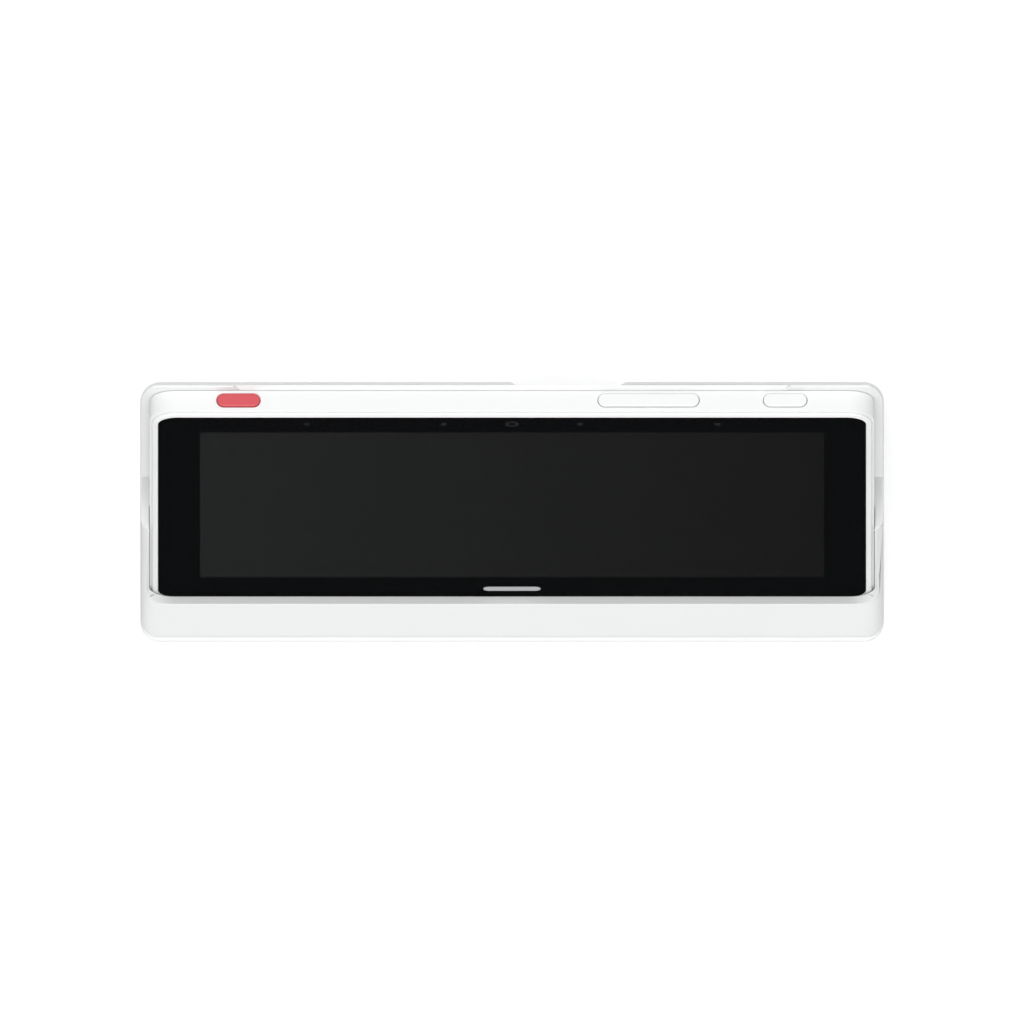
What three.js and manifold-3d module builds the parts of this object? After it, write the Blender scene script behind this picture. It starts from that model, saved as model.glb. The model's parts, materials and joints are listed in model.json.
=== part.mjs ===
// Smart home hub: a flat display unit that stands in a wedge-shaped charging dock.
// Millimetres, +Z up, +Y towards the back. The origin is the centre of the footprint, on the table.
import * as THREE from 'three';
import { mergeVertices } from 'three/addons/utils/BufferGeometryUtils.js';
import Module from 'manifold-3d';

const wasm = await Module();
wasm.setup();

// ---------- driving dimensions ----------
const lean = THREE.MathUtils.degToRad(21.76);   // how far the display leans back from upright
const gap = 0.3;                                // air kept between neighbouring pieces

// dock
const footWidth = 205.2, footDepth = 71.7, footRadius = 5.5;
const dockWidth = 204.9, dockRadius = 5;
const dockFrontY = -34.45, dockRearY = 35;
const footPadHeight = 0.8;                      // rubber below the base plate
const baseTopZ = 2.9;                           // top of the base plate's flange
const shellWall = 2;
const lipFootZ = 4.4;                           // where the front slope starts
const crestY = -25.45, crestZ = 18.5;           // highest line of the front lip
const armTopY = 58, armStand = 1.2;             // where the side arms end, up the display and above its glass
const backrestFrontY = 2;                       // the arms' rounded front edges stay in front of this
const ledgeMargin = 2.2;                        // dock backrest showing above the display unit
const pocketFrontZ = 0.37;                      // the pocket's upright walls end just above the glass
const mouthInner = { grow: 0, radius: 7.2, bottom: 1.85, z: 0.36 };   // bevel from the pocket's walls
const mouthOuter = { grow: 6.2, radius: 8.4, bottom: 2.62, z: 3.4 };  // out to the lip and arms
const cableNotchX = [1.6, 29.5];                // cable way at the back
const cableNotchTopZ = 13.2, cableNotchFrontY = 23.2;
const notchRadius = 2.4;

// display unit, measured in its own plane: y up the glass from its bottom edge, z out of the glass
const glassWidth = 195.4, glassHeight = 134, glassRadius = 5.3, glassThick = 0.7;
const glassTopY = 26.07, glassTopZ = 139.5;     // the glass's top edge in the row frame
const rimWidth = 1.66;                          // white lip round the glass
const bodyMargin = 2.3;                         // casing outside the glass edge
const slabThick = 7.2;
const casingStepZ = -0.88;                      // the casing's rim stands below the glass face
const casingWall = 1.2, casingFloor = 1.15;
const litHeight = 107.6, litBottom = 15.2;      // lit area's height, and its place up the glass
const panelWidth = 184, panelHeight = 117, panelThick = 1.6;
const panelDrop = 3;                            // the panel reaches further below the lit area

// buttons on the display unit's top edge
const buttonDepthZ = -4.2, buttonWidth = 3.75, buttonProud = 0.6;
const alarmButton = { x: -75.5, length: 11.8 };
const volumeRocker = { x: 37.7, length: 27.8 };
const powerButton = { x: 75.4, length: 11.9 };
const buttonTravel = 0.35;

// charging contacts
const contactPitch = 4, contactCount = 4, contactRadius = 0.6;

// ---------- worked-out values ----------
const slabGroup = new THREE.Group();
slabGroup.rotation.x = Math.PI / 2 - lean;
slabGroup.position.set(
  0,
  glassTopY - glassHeight * Math.sin(lean),
  glassTopZ - glassHeight * Math.cos(lean),
);
slabGroup.updateMatrixWorld(true);
const slabMatrix = slabGroup.matrixWorld.clone();

const slabBottom = -bodyMargin;                 // the casing's lower edge, in the display's plane
const slabTop = glassHeight + bodyMargin;
const slabHalfWidth = glassWidth / 2 + bodyMargin;
const bodyRadius = glassRadius + bodyMargin - 0.4;
const pocketBack = -(slabThick + gap);          // backrest plane
const ledgeTop = slabTop + ledgeMargin;         // top edge of the backrest
const casingInnerZ = -slabThick + casingFloor;
const topWallInner = slabTop - casingWall;
const shellBottomZ = baseTopZ + gap;
const cutClear = 30;                            // how far cutters run past the solid

// a point of the display's plane (y, z) as a [Y, Z] pair of the row frame
const slabPoint = (y, z) => {
  const p = new THREE.Vector3(0, y, z).applyMatrix4(slabMatrix);
  return [p.y, p.z];
};

// ---------- shape helpers ----------
const solid = (geometry) => {
  geometry.deleteAttribute('normal');
  geometry.deleteAttribute('uv');
  const merged = mergeVertices(geometry, 1e-4);
  return new wasm.Manifold(new wasm.Mesh({
    numProp: 3,
    vertProperties: new Float32Array(merged.attributes.position.array),
    triVerts: new Uint32Array(merged.index.array),
  }));
};

const toGeometry = (body) => {
  const mesh = body.getMesh();
  const geometry = new THREE.BufferGeometry();
  geometry.setAttribute('position', new THREE.BufferAttribute(new Float32Array(mesh.vertProperties), 3));
  geometry.setIndex(new THREE.BufferAttribute(new Uint32Array(mesh.triVerts), 1));
  geometry.computeVertexNormals();
  return geometry;
};

const roundedRect = (width, height, radius, cx = 0, cy = 0) => {
  const [x0, x1] = [cx - width / 2, cx + width / 2];
  const [y0, y1] = [cy - height / 2, cy + height / 2];
  const s = new THREE.Shape();
  s.moveTo(x0 + radius, y0);
  s.lineTo(x1 - radius, y0);
  s.absarc(x1 - radius, y0 + radius, radius, -Math.PI / 2, 0);
  s.lineTo(x1, y1 - radius);
  s.absarc(x1 - radius, y1 - radius, radius, 0, Math.PI / 2);
  s.lineTo(x0 + radius, y1);
  s.absarc(x0 + radius, y1 - radius, radius, Math.PI / 2, Math.PI);
  s.lineTo(x0, y0 + radius);
  s.absarc(x0 + radius, y0 + radius, radius, Math.PI, 1.5 * Math.PI);
  return s;
};

const plate = (shape, z0, z1, curveSegments = 4) => {
  const g = new THREE.ExtrudeGeometry(shape, { depth: z1 - z0, bevelEnabled: false, curveSegments });
  return g.translate(0, 0, z0);
};

const box = (x0, x1, y0, y1, z0, z1) =>
  new THREE.BoxGeometry(x1 - x0, y1 - y0, z1 - z0).translate((x0 + x1) / 2, (y0 + y1) / 2, (z0 + z1) / 2);

const rod = (radius, x, y, z0, z1, sides = 12) =>
  new THREE.CylinderGeometry(radius, radius, z1 - z0, sides).rotateX(Math.PI / 2).translate(x, y, (z0 + z1) / 2);

// a side profile given as [Y, Z] points, run along X
const sideProfile = (points, x0, x1) => {
  const s = new THREE.Shape(points.map(([y, z]) => new THREE.Vector2(y, z)));
  const g = plate(s, x0, x1);
  const basis = new THREE.Matrix4().makeBasis(
    new THREE.Vector3(0, 1, 0), new THREE.Vector3(0, 0, 1), new THREE.Vector3(1, 0, 0));
  return g.applyMatrix4(basis);
};

// a stadium seen along the display's y axis (its length along x), run from y0 to y1
const edgeStadium = (length, width, x, z, y0, y1) =>
  plate(roundedRect(length, width, width / 2 - 0.01, x, -z), y0, y1, 3).rotateX(-Math.PI / 2);

// a shape's outline as points, without the repeats where a line meets an arc
const outlinePoints = (shape) => shape.getPoints(4).filter((p, i, all) =>
  p.distanceTo(all[(i + 1) % all.length]) > 1e-5);

// a loft between two outlines with the same number of points, in planes z0 and z1
const loft = (lower, upper, z0, z1) => {
  const n = lower.length;
  const position = [];
  lower.forEach((p) => position.push(p.x, p.y, z0));
  upper.forEach((p) => position.push(p.x, p.y, z1));
  const index = [];
  for (let i = 0; i < n; i += 1) {
    const j = (i + 1) % n;
    index.push(i, j, n + j, i, n + j, n + i);
  }
  THREE.ShapeUtils.triangulateShape(lower, []).forEach(([a, b, c]) => {
    index.push(c, b, a, n + a, n + b, n + c);
  });
  const g = new THREE.BufferGeometry();
  g.setAttribute('position', new THREE.Float32BufferAttribute(position, 3));
  g.setIndex(index);
  return g;
};

// ---------- materials ----------
const paint = (color, roughness, metalness = 0) =>
  new THREE.MeshStandardMaterial({ color, roughness, metalness });
const whiteShell = paint('#f2f3f3', 0.45);
const whiteCasing = paint('#f6f7f7', 0.4);
const whiteLip = paint('#fbfbfb', 0.35);
const redKey = paint('#e5646b', 0.4);
const whiteKey = paint('#f6f7f7', 0.4);
const blackGlass = paint('#121314', 0.08);
const panelGrey = paint('#242526', 0.3);
const rubberGrey = paint('#8c8e90', 0.9);
const steel = paint('#9a9c9e', 0.4, 1);
const aluminium = paint('#b9bcbf', 0.45, 1);
const gold = paint('#d3a84c', 0.3, 1);
const boardGreen = paint('#1f5a3c', 0.6);
const blackPlastic = paint('#1b1c1e', 0.6);
const batteryFoil = paint('#3a3d42', 0.5);

const hub = new THREE.Group();
hub.add(slabGroup);

const add = (parent, name, geometry, material) => {
  const mesh = new THREE.Mesh(geometry, material);
  mesh.name = name;
  parent.add(mesh);
  return mesh;
};

// ---------- dock shell ----------
const scoop = { x: 97, y: glassHeight - 73, z: -4.5, reachX: 9.5, radius: 11.3 };
const bossPlaces = [[-97.4, -9], [97.4, -9], [-97.4, 26], [97.4, 26]];
const bossRadius = 3.3, bossTopZ = 13;
const screwRadius = 1.1, screwTopZ = 10.5;
const screwHead = { radius: 2.3, bottom: 0.9, top: 1.6 };
const recessWall = 1.6;                         // wall round the cable recess
const socketX = (cableNotchX[0] + cableNotchX[1]) / 2;
const socketWidth = 9, socketHeight = 3.3, socketZ = 8.4, socketLength = 7.3;
const contactBlock = { width: 20, depth: 4.4 };
const contactZ = -4;                            // contact row, behind the glass face

const outerProfile = () => [
  [dockFrontY, shellBottomZ],
  [dockFrontY, lipFootZ],
  [crestY, crestZ],
  slabPoint(armTopY, armStand),
  slabPoint(armTopY, pocketBack),
  slabPoint(ledgeTop, pocketBack),
  [dockRearY, slabPoint(ledgeTop, pocketBack)[1]],
  [dockRearY, shellBottomZ],
];

// The front leans back in two slopes, so the outline at each height is a rounded rectangle whose
// front edge has moved back. Above the arms only the backrest is left.
const dockOutside = () => {
  const [armFrontY, armFrontZ] = slabPoint(armTopY, armStand);
  const armSlope = (armFrontY - crestY) / (armFrontZ - crestZ);
  const loftTopZ = armFrontZ + 5;
  const levels = [
    [shellBottomZ, dockFrontY],
    [lipFootZ, dockFrontY],
    [crestZ, crestY],
    [loftTopZ, crestY + armSlope * (loftTopZ - crestZ)],
  ].map(([z, frontY]) => ({
    z,
    outline: outlinePoints(roundedRect(dockWidth, dockRearY - frontY, dockRadius, 0, (dockRearY + frontY) / 2)),
  }));
  const backrest = roundedRect(dockWidth, dockRearY - dockFrontY, dockRadius, 0, (dockRearY + dockFrontY) / 2);
  const behindArms = box(-dockWidth, dockWidth, backrestFrontY, dockRearY + 1, loftTopZ - 12, glassTopZ + cutClear);
  let block = solid(plate(backrest, loftTopZ - 12, glassTopZ + cutClear)).intersect(solid(behindArms));
  levels.slice(1).forEach((upper, i) => {
    const lower = levels[i];
    block = block.add(solid(loft(lower.outline, upper.outline, lower.z, upper.z)));
  });
  return block.intersect(solid(sideProfile(outerProfile(), -dockWidth, dockWidth)));
};

// the room for the display unit, open upwards
const pocket = () => {
  const width = 2 * (slabHalfWidth + gap);
  const height = glassHeight + 2 * cutClear;
  const floorY = slabBottom - gap;
  const outline = roundedRect(width, height, bodyRadius + gap, 0, floorY + height / 2);
  return solid(plate(outline, pocketBack, pocketFrontZ).applyMatrix4(slabMatrix));
};

// the bevelled mouth of the pocket: wider towards the front, all round
const pocketMouth = () => {
  const height = glassHeight + 2 * cutClear;
  const [lower, upper] = [mouthInner, mouthOuter].map(({ grow, radius, bottom }) =>
    outlinePoints(roundedRect(2 * (slabHalfWidth + gap) + grow, height, radius, 0, bottom + height / 2)));
  return solid(loft(lower, upper, mouthInner.z, mouthOuter.z).applyMatrix4(slabMatrix));
};

// the space for fingertips beside and behind the display unit
const fingerScoop = (side) => {
  const ball = new THREE.SphereGeometry(scoop.radius, 24, 14).rotateZ(Math.PI / 2);
  ball.scale(scoop.reachX / scoop.radius, 1, 1);
  return solid(ball.translate(side * scoop.x, scoop.y, scoop.z).applyMatrix4(slabMatrix));
};

// a shallow dip in the top edge, where a finger reaches the display's upper edge: its floor falls
// away behind the backrest plane, and its ends run out in a short taper
const dip = { halfWidth: 77, taper: 2.5, slope: THREE.MathUtils.degToRad(27), below: 0.3, reach: 20 };
const topDip = () => {
  const outline = new THREE.Shape([
    new THREE.Vector2(-dip.halfWidth + dip.taper, 0),
    new THREE.Vector2(dip.halfWidth - dip.taper, 0),
    new THREE.Vector2(dip.halfWidth, dip.taper),
    new THREE.Vector2(dip.halfWidth, dip.reach),
    new THREE.Vector2(-dip.halfWidth, dip.reach),
    new THREE.Vector2(-dip.halfWidth, dip.taper),
  ]);
  const cutter = plate(outline, 0, dip.reach).rotateX(-dip.slope);
  return cutter.translate(0, slabTop - dip.below, pocketBack).applyMatrix4(slabMatrix);
};

const lipRoof = [[-28.6, 9.6], [-25.6, 10.4]];  // the wall's inner face under the front lip
const scoopPad = { x: 84, half: 14.5, back: -19.5 };    // the wall stays thick round each finger scoop
const dockCavity = () => {
  const backPlane = pocketBack - shellWall;
  const roofY = slabPoint(0, backPlane);
  const rearInner = dockRearY - shellWall;
  // where the backrest's inner plane meets the rear wall's inner face
  const up = (rearInner - roofY[0]) / Math.sin(lean);
  const peak = slabPoint(up, backPlane);
  const underTrough = slabPoint(slabBottom - gap - shellWall, backPlane);
  const points = [
    [dockFrontY + shellWall, shellBottomZ - cutClear],
    [dockFrontY + shellWall, lipFootZ],
    ...lipRoof,
    underTrough,
    peak,
    [rearInner, shellBottomZ - cutClear],
  ];
  const width = dockWidth - 2 * shellWall;
  let cavity = solid(sideProfile(points, -width / 2, width / 2));
  const plan = roundedRect(width, rearInner - dockFrontY - shellWall, dockRadius - shellWall, 0,
    (rearInner + dockFrontY + shellWall) / 2);
  cavity = cavity.intersect(solid(plate(plan, -cutClear, glassTopZ + cutClear)));
  for (const side of [-1, 1]) {
    const [x0, x1] = side > 0 ? [scoopPad.x, dockWidth] : [-dockWidth, -scoopPad.x];
    const pad = box(x0, x1, scoop.y - scoopPad.half, scoop.y + scoopPad.half, scoopPad.back, 0);
    cavity = cavity.subtract(solid(pad.applyMatrix4(slabMatrix)));
  }
  return cavity;
};

const buildDockShell = () => {
  let shell = dockOutside().subtract(pocket()).subtract(pocketMouth());
  shell = shell.subtract(dockCavity());
  for (const [x, y] of bossPlaces) {
    shell = shell.add(solid(rod(bossRadius, x, y, shellBottomZ + 0.2, bossTopZ, 20)));
    shell = shell.subtract(solid(rod(screwRadius + gap, x, y, 0, screwTopZ + 0.5, 16)));
  }
  // the cable recess has its own roof, sides and front wall inside the shell
  const [nx0, nx1] = cableNotchX;
  const wall = recessWall;
  shell = shell.add(solid(box(nx0 - wall, nx1 + wall, cableNotchFrontY - wall, dockRearY - 0.5,
    shellBottomZ, cableNotchTopZ + wall)));
  const mouth = roundedRect(nx1 - nx0, 2 * cableNotchTopZ, notchRadius, (nx0 + nx1) / 2, 0);
  shell = shell.subtract(solid(plate(mouth, -dockRearY - cutClear, -cableNotchFrontY)
    .rotateX(Math.PI / 2)));
  // slot for the power socket, and the pocket floor's slot for the contact block
  shell = shell.subtract(solid(box(socketX - socketWidth / 2 - gap, socketX + socketWidth / 2 + gap,
    cableNotchFrontY - wall - 1, cableNotchFrontY + 1,
    socketZ - socketHeight / 2 - gap, socketZ + socketHeight / 2 + gap)));
  const slot = edgeStadium(contactBlock.width + 2 * gap, contactBlock.depth + 2 * gap, 0, contactZ,
    slabBottom - 8, slabBottom + 1);
  shell = shell.subtract(solid(slot.applyMatrix4(slabMatrix)));
  for (const side of [-1, 1]) {
    shell = shell.subtract(fingerScoop(side));
  }
  return toGeometry(shell.subtract(solid(topDip())));
};
add(hub, 'dock_shell', buildDockShell(), whiteShell);

// ---------- dock base ----------
const padLength = 24, padWidth = 9, padSink = 0.6;      // the feet sit a little way into the plate
const padPlaces = [[-82, -25], [82, -25], [-82, 25], [82, 25]];

const boardZ = 5;                               // underside of the dock's circuit board
const boardPosts = [[-20, -6], [36, -6], [-20, 12], [36, 12]];
const postRadius = 1.8;

const buildDockBase = () => {
  let base = solid(plate(roundedRect(footWidth, footDepth, footRadius), footPadHeight, baseTopZ));
  const [nx0, nx1] = cableNotchX;
  const notch = roundedRect(nx1 - nx0, 2 * (footDepth / 2 - cableNotchFrontY), notchRadius,
    (nx0 + nx1) / 2, footDepth / 2);
  base = base.subtract(solid(plate(notch, 0, baseTopZ + 1)));
  // rounded outer corners of the notch
  for (const [x, side] of [[nx0, -1], [nx1, 1]]) {
    const r = notchRadius;
    const square = solid(box(Math.min(x, x + side * r), Math.max(x, x + side * r),
      footDepth / 2 - r, footDepth / 2 + 1, 0, baseTopZ + 1));
    base = base.subtract(square.subtract(solid(rod(r, x + side * r, footDepth / 2 - r, -1, baseTopZ + 2, 24))));
  }
  for (const [x, y] of padPlaces) {
    const recess = roundedRect(padLength + 2 * gap, padWidth + 2 * gap, padWidth / 2 + gap - 0.01, x, y);
    base = base.subtract(solid(plate(recess, 0, footPadHeight + padSink + gap)));
  }
  for (const [x, y] of bossPlaces) {
    base = base.subtract(solid(rod(screwRadius + gap, x, y, 0, baseTopZ + 1)));
    base = base.subtract(solid(rod(screwHead.radius + gap, x, y, 0, screwHead.top + gap)));
  }
  // posts that carry the circuit board
  for (const [x, y] of boardPosts) {
    base = base.add(solid(rod(postRadius, x, y, baseTopZ - 0.5, boardZ - gap)));
  }
  return toGeometry(base);
};
add(hub, 'dock_base', buildDockBase(), whiteShell);

padPlaces.forEach(([x, y], i) => {
  const pad = plate(roundedRect(padLength, padWidth, padWidth / 2 - 0.01, x, y), 0, footPadHeight + padSink);
  add(hub, `foot_pad_${i + 1}`, pad, rubberGrey);
});

bossPlaces.forEach(([x, y], i) => {
  const head = solid(rod(screwHead.radius, x, y, screwHead.bottom, screwHead.top));
  const shank = solid(rod(screwRadius, x, y, (screwHead.bottom + screwHead.top) / 2, screwTopZ));
  add(hub, `base_screw_${i + 1}`, toGeometry(head.add(shank)), steel);
});

// ---------- inside the dock ----------
const ballast = { y0: -13, y1: 24, height: 6 };
for (const [name, x0, x1] of [['ballast_left', -91, -28], ['ballast_right', 42, 91]]) {
  const top = shellBottomZ + ballast.height;
  add(hub, name, plate(roundedRect(x1 - x0, ballast.y1 - ballast.y0, 3,
    (x0 + x1) / 2, (ballast.y0 + ballast.y1) / 2), shellBottomZ, top, 2), steel);
}

const boardThick = 1.2;
const dockBoard = plate(roundedRect(64, 26, 2, 8, 3), boardZ, boardZ + boardThick, 2);
add(hub, 'dock_circuit_board', dockBoard, boardGreen);

const buildSocket = () => {
  const y1 = cableNotchFrontY - 0.4;
  const y0 = y1 - socketLength;
  const outline = roundedRect(socketWidth, socketHeight, 1.6, socketX, socketZ);
  const mouth = roundedRect(socketWidth - 0.7, socketHeight - 0.7, 1.25, socketX, socketZ);
  const can = solid(plate(outline, -y1, -y0, 2).rotateX(Math.PI / 2));
  const hollow = solid(plate(mouth, -y1 - 1, -y0 - 1.2, 2).rotateX(Math.PI / 2));
  const tongue = solid(box(socketX - 3.2, socketX + 3.2, y0 + 0.8, y1 - 0.8, socketZ - 0.35, socketZ + 0.35));
  return toGeometry(can.subtract(hollow).add(tongue));
};
add(hub, 'power_socket', buildSocket(), steel);

// contact block: fills the slot in the pocket floor, with a bore for each sprung pin
const blockTop = slabBottom - gap - 0.8, blockBottom = blockTop - 5;
const contactX = (i) => (i - (contactCount - 1) / 2) * contactPitch;
const buildContactBlock = () => {
  let block = solid(edgeStadium(contactBlock.width, contactBlock.depth, 0, contactZ, blockTop - 3, blockTop));
  for (let i = 0; i < contactCount; i += 1) {
    const bore = rod(contactRadius + 0.25, contactX(i), -contactZ, blockBottom - 1, blockTop + 1, 12);
    block = block.subtract(solid(bore.rotateX(-Math.PI / 2)));
  }
  return toGeometry(block);
};
add(slabGroup, 'contact_block', buildContactBlock(), blackPlastic);

for (let i = 0; i < contactCount; i += 1) {
  const pin = new THREE.LatheGeometry([
    new THREE.Vector2(0, blockTop - 2.6),
    new THREE.Vector2(contactRadius, blockTop - 2.6),
    new THREE.Vector2(contactRadius, blockTop + 0.5),
    new THREE.Vector2(contactRadius * 0.6, blockTop + 0.75),
    new THREE.Vector2(0, blockTop + 0.8),
  ], 12).translate(contactX(i), 0, contactZ);
  add(slabGroup, `contact_pin_${i + 1}`, toGeometry(solid(pin)), gold);
}

// ---------- display unit: casing ----------
const slabOutline = (inset) => roundedRect(2 * (slabHalfWidth - inset), glassHeight + 2 * (bodyMargin - inset),
  Math.max(bodyRadius - inset, 1), 0, glassHeight / 2);

const speakerY = [84, 118];                     // the side speakers' span up the display
const grilleSlots = 6, grillePitch = 4.6;
const keyholeDepth = 1.6;                       // the buttons' openings run this far into the casing

const buildRearCover = () => {
  const rearRound = 1;
  let cover = solid(plate(slabOutline(0), -slabThick + rearRound, casingStepZ));
  const rear = loft(outlinePoints(slabOutline(rearRound)), outlinePoints(slabOutline(0)),
    -slabThick, -slabThick + rearRound);
  cover = cover.add(solid(rear));
  cover = cover.subtract(solid(plate(slabOutline(casingWall), casingInnerZ, 1)));
  for (const b of [alarmButton, volumeRocker, powerButton]) {
    cover = cover.subtract(solid(edgeStadium(b.length + 2 * gap, buttonWidth + 2 * gap, b.x, buttonDepthZ,
      topWallInner - keyholeDepth, slabTop + 1)));
  }
  // window for the charging contacts in the lower edge
  cover = cover.subtract(solid(edgeStadium(17.6, 3.4, 0, contactZ, slabBottom - 1, slabBottom + casingWall + 1)));
  // sound slots in both side edges
  for (const side of [-1, 1]) {
    for (let i = 0; i < grilleSlots; i += 1) {
      const y = speakerY[0] + 5 + i * grillePitch;
      const x = side * slabHalfWidth;
      cover = cover.subtract(solid(box(x - 2, x + 2, y, y + 2.8, -4.6, -3.6)));
    }
  }
  return toGeometry(cover);
};
add(slabGroup, 'rear_cover', buildRearCover(), whiteCasing);

// white lip round the glass, with a shelf inside the casing that carries the glass
const glassOutline = (grow) => roundedRect(glassWidth + 2 * grow, glassHeight + 2 * grow, glassRadius + grow,
  0, glassHeight / 2);
const shelfTop = -glassThick - 0.25;
const buildFrontFrame = () => {
  const neck = bodyMargin - casingWall - 0.25;
  const lip = solid(plate(glassOutline(rimWidth), casingStepZ + 0.25, -0.05));
  const skirt = solid(plate(glassOutline(neck), shelfTop - 0.85, -0.3));
  const seat = solid(plate(glassOutline(0.25), shelfTop, 1));
  const window = solid(plate(roundedRect(glassWidth - 4.4, glassHeight - 4.4, 3.5, 0, glassHeight / 2), -4, 1));
  return toGeometry(lip.add(skirt).subtract(seat).subtract(window));
};
add(slabGroup, 'front_frame', buildFrontFrame(), whiteLip);
add(slabGroup, 'cover_glass', plate(glassOutline(0), -glassThick, 0), blackGlass);

// ---------- display unit: inside ----------
const panelTop = -glassThick - 0.25;
const panelY = litBottom + litHeight / 2 - panelDrop;
add(slabGroup, 'lcd_panel', box(-panelWidth / 2, panelWidth / 2, panelY - panelHeight / 2,
  panelY + panelHeight / 2, panelTop - panelThick, panelTop), panelGrey);

const chassisTop = panelTop - panelThick - 0.2, chassisThick = 0.4;
const chassis = plate(roundedRect(188, 120, 4, 0, panelY), chassisTop - chassisThick, chassisTop, 2);
add(slabGroup, 'chassis_plate', chassis, aluminium);

const bayTop = chassisTop - chassisThick - 0.2, bayFloor = casingInnerZ + 0.2;
add(slabGroup, 'battery', plate(roundedRect(96, 58, 2, 26, 46), bayFloor, bayTop, 1), batteryFoil);
add(slabGroup, 'main_board', box(-84, -28, 18, 100, bayFloor, bayFloor + 0.8), boardGreen);
add(slabGroup, 'shield_can', box(-76, -44, 34, 66, bayFloor + 1.05, bayTop), steel);
for (const [name, side] of [['speaker_left', -1], ['speaker_right', 1]]) {
  const [x0, x1] = side > 0 ? [88, 98] : [-98, -88];
  add(slabGroup, name, plate(roundedRect(x1 - x0, speakerY[1] - speakerY[0], 1.5, (x0 + x1) / 2,
    (speakerY[0] + speakerY[1]) / 2), bayFloor, bayTop, 1), blackPlastic);
}
add(slabGroup, 'antenna_left', box(-97.8, -90, 40, 76, bayFloor, bayFloor + 0.3), gold);
add(slabGroup, 'antenna_right', box(90, 97.8, 40, 76, bayFloor, bayFloor + 0.3), gold);

// sensor behind the small ring above the screen, and the microphones beside it
const sensorY = glassHeight - 4.9;
const behindGlass = -glassThick - 0.25;
add(slabGroup, 'sensor_module', box(-3, 3, sensorY - 2, sensorY + 2, behindGlass - 1.7, behindGlass), blackPlastic);
[-56.7, -18.8, 18.8, 56.7].forEach((x, i) => {
  add(slabGroup, `microphone_${i + 1}`, box(x - 1.4, x + 1.4, sensorY - 1.1, sensorY + 1.1,
    behindGlass - 1.1, behindGlass), aluminium);
});

// charging pads in the lower edge
const padBlock = edgeStadium(17, 2.8, 0, contactZ, slabBottom + 0.3, slabBottom + 3.2);
const buildPadHolder = () => {
  let holder = solid(padBlock);
  for (let i = 0; i < contactCount; i += 1) {
    holder = holder.subtract(solid(rod(1.1, contactX(i), -contactZ, slabBottom - 1, slabBottom + 1.5, 12)
      .rotateX(-Math.PI / 2)));
  }
  return toGeometry(holder);
};
add(slabGroup, 'pad_holder', buildPadHolder(), blackPlastic);
for (let i = 0; i < contactCount; i += 1) {
  const pad = rod(0.8, contactX(i), -contactZ, slabBottom, slabBottom + 1.2, 12).rotateX(-Math.PI / 2);
  add(slabGroup, `charge_pad_${i + 1}`, pad, gold);
}

// ---------- buttons ----------
const flangeTop = topWallInner - 0.5, flangeThick = 0.6;
const plungerBottom = flangeTop - flangeThick - 0.5;
const switchTop = plungerBottom - buttonTravel - 0.1, switchHeight = 1.6;

const buildButton = ({ x, length }, plungers) => {
  const crown = slabTop + buttonProud;
  const round = 0.45;
  let button = solid(edgeStadium(length, buttonWidth, x, buttonDepthZ, flangeTop - flangeThick, crown - round));
  button = button.add(solid(edgeStadium(length - 0.5, buttonWidth - 0.5, x, buttonDepthZ, crown - 1, crown)));
  button = button.add(solid(box(x - length / 2 - 1, x + length / 2 + 1, flangeTop - flangeThick, flangeTop,
    buttonDepthZ - 1.6, buttonDepthZ + 1.6)));
  for (const offset of plungers) {
    button = button.add(solid(box(x + offset - 1, x + offset + 1, plungerBottom, flangeTop - 0.1,
      buttonDepthZ - 0.8, buttonDepthZ + 0.8)));
  }
  return toGeometry(button);
};
const rockerSpread = 9;
add(slabGroup, 'alarm_button', buildButton(alarmButton, [0]), redKey);
add(slabGroup, 'volume_rocker', buildButton(volumeRocker, [-rockerSpread, rockerSpread]), whiteKey);
add(slabGroup, 'power_button', buildButton(powerButton, [0]), whiteKey);

const switchPlaces = [
  ['alarm_switch', alarmButton.x],
  ['volume_down_switch', volumeRocker.x - rockerSpread],
  ['volume_up_switch', volumeRocker.x + rockerSpread],
  ['power_switch', powerButton.x],
];
for (const [name, x] of switchPlaces) {
  add(slabGroup, name, box(x - 1.6, x + 1.6, switchTop - switchHeight, switchTop,
    buttonDepthZ - 1.2, buttonDepthZ + 1.1), blackPlastic);
}
const stripTop = switchTop - switchHeight - 0.25;
add(slabGroup, 'button_board', box(-84, 84, stripTop - 0.6, stripTop, buttonDepthZ - 1.6, buttonDepthZ + 0.6),
  boardGreen);

export default hub;
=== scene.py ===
import bmesh
import bpy
import json
import math
from mathutils import Matrix, Vector


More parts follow.
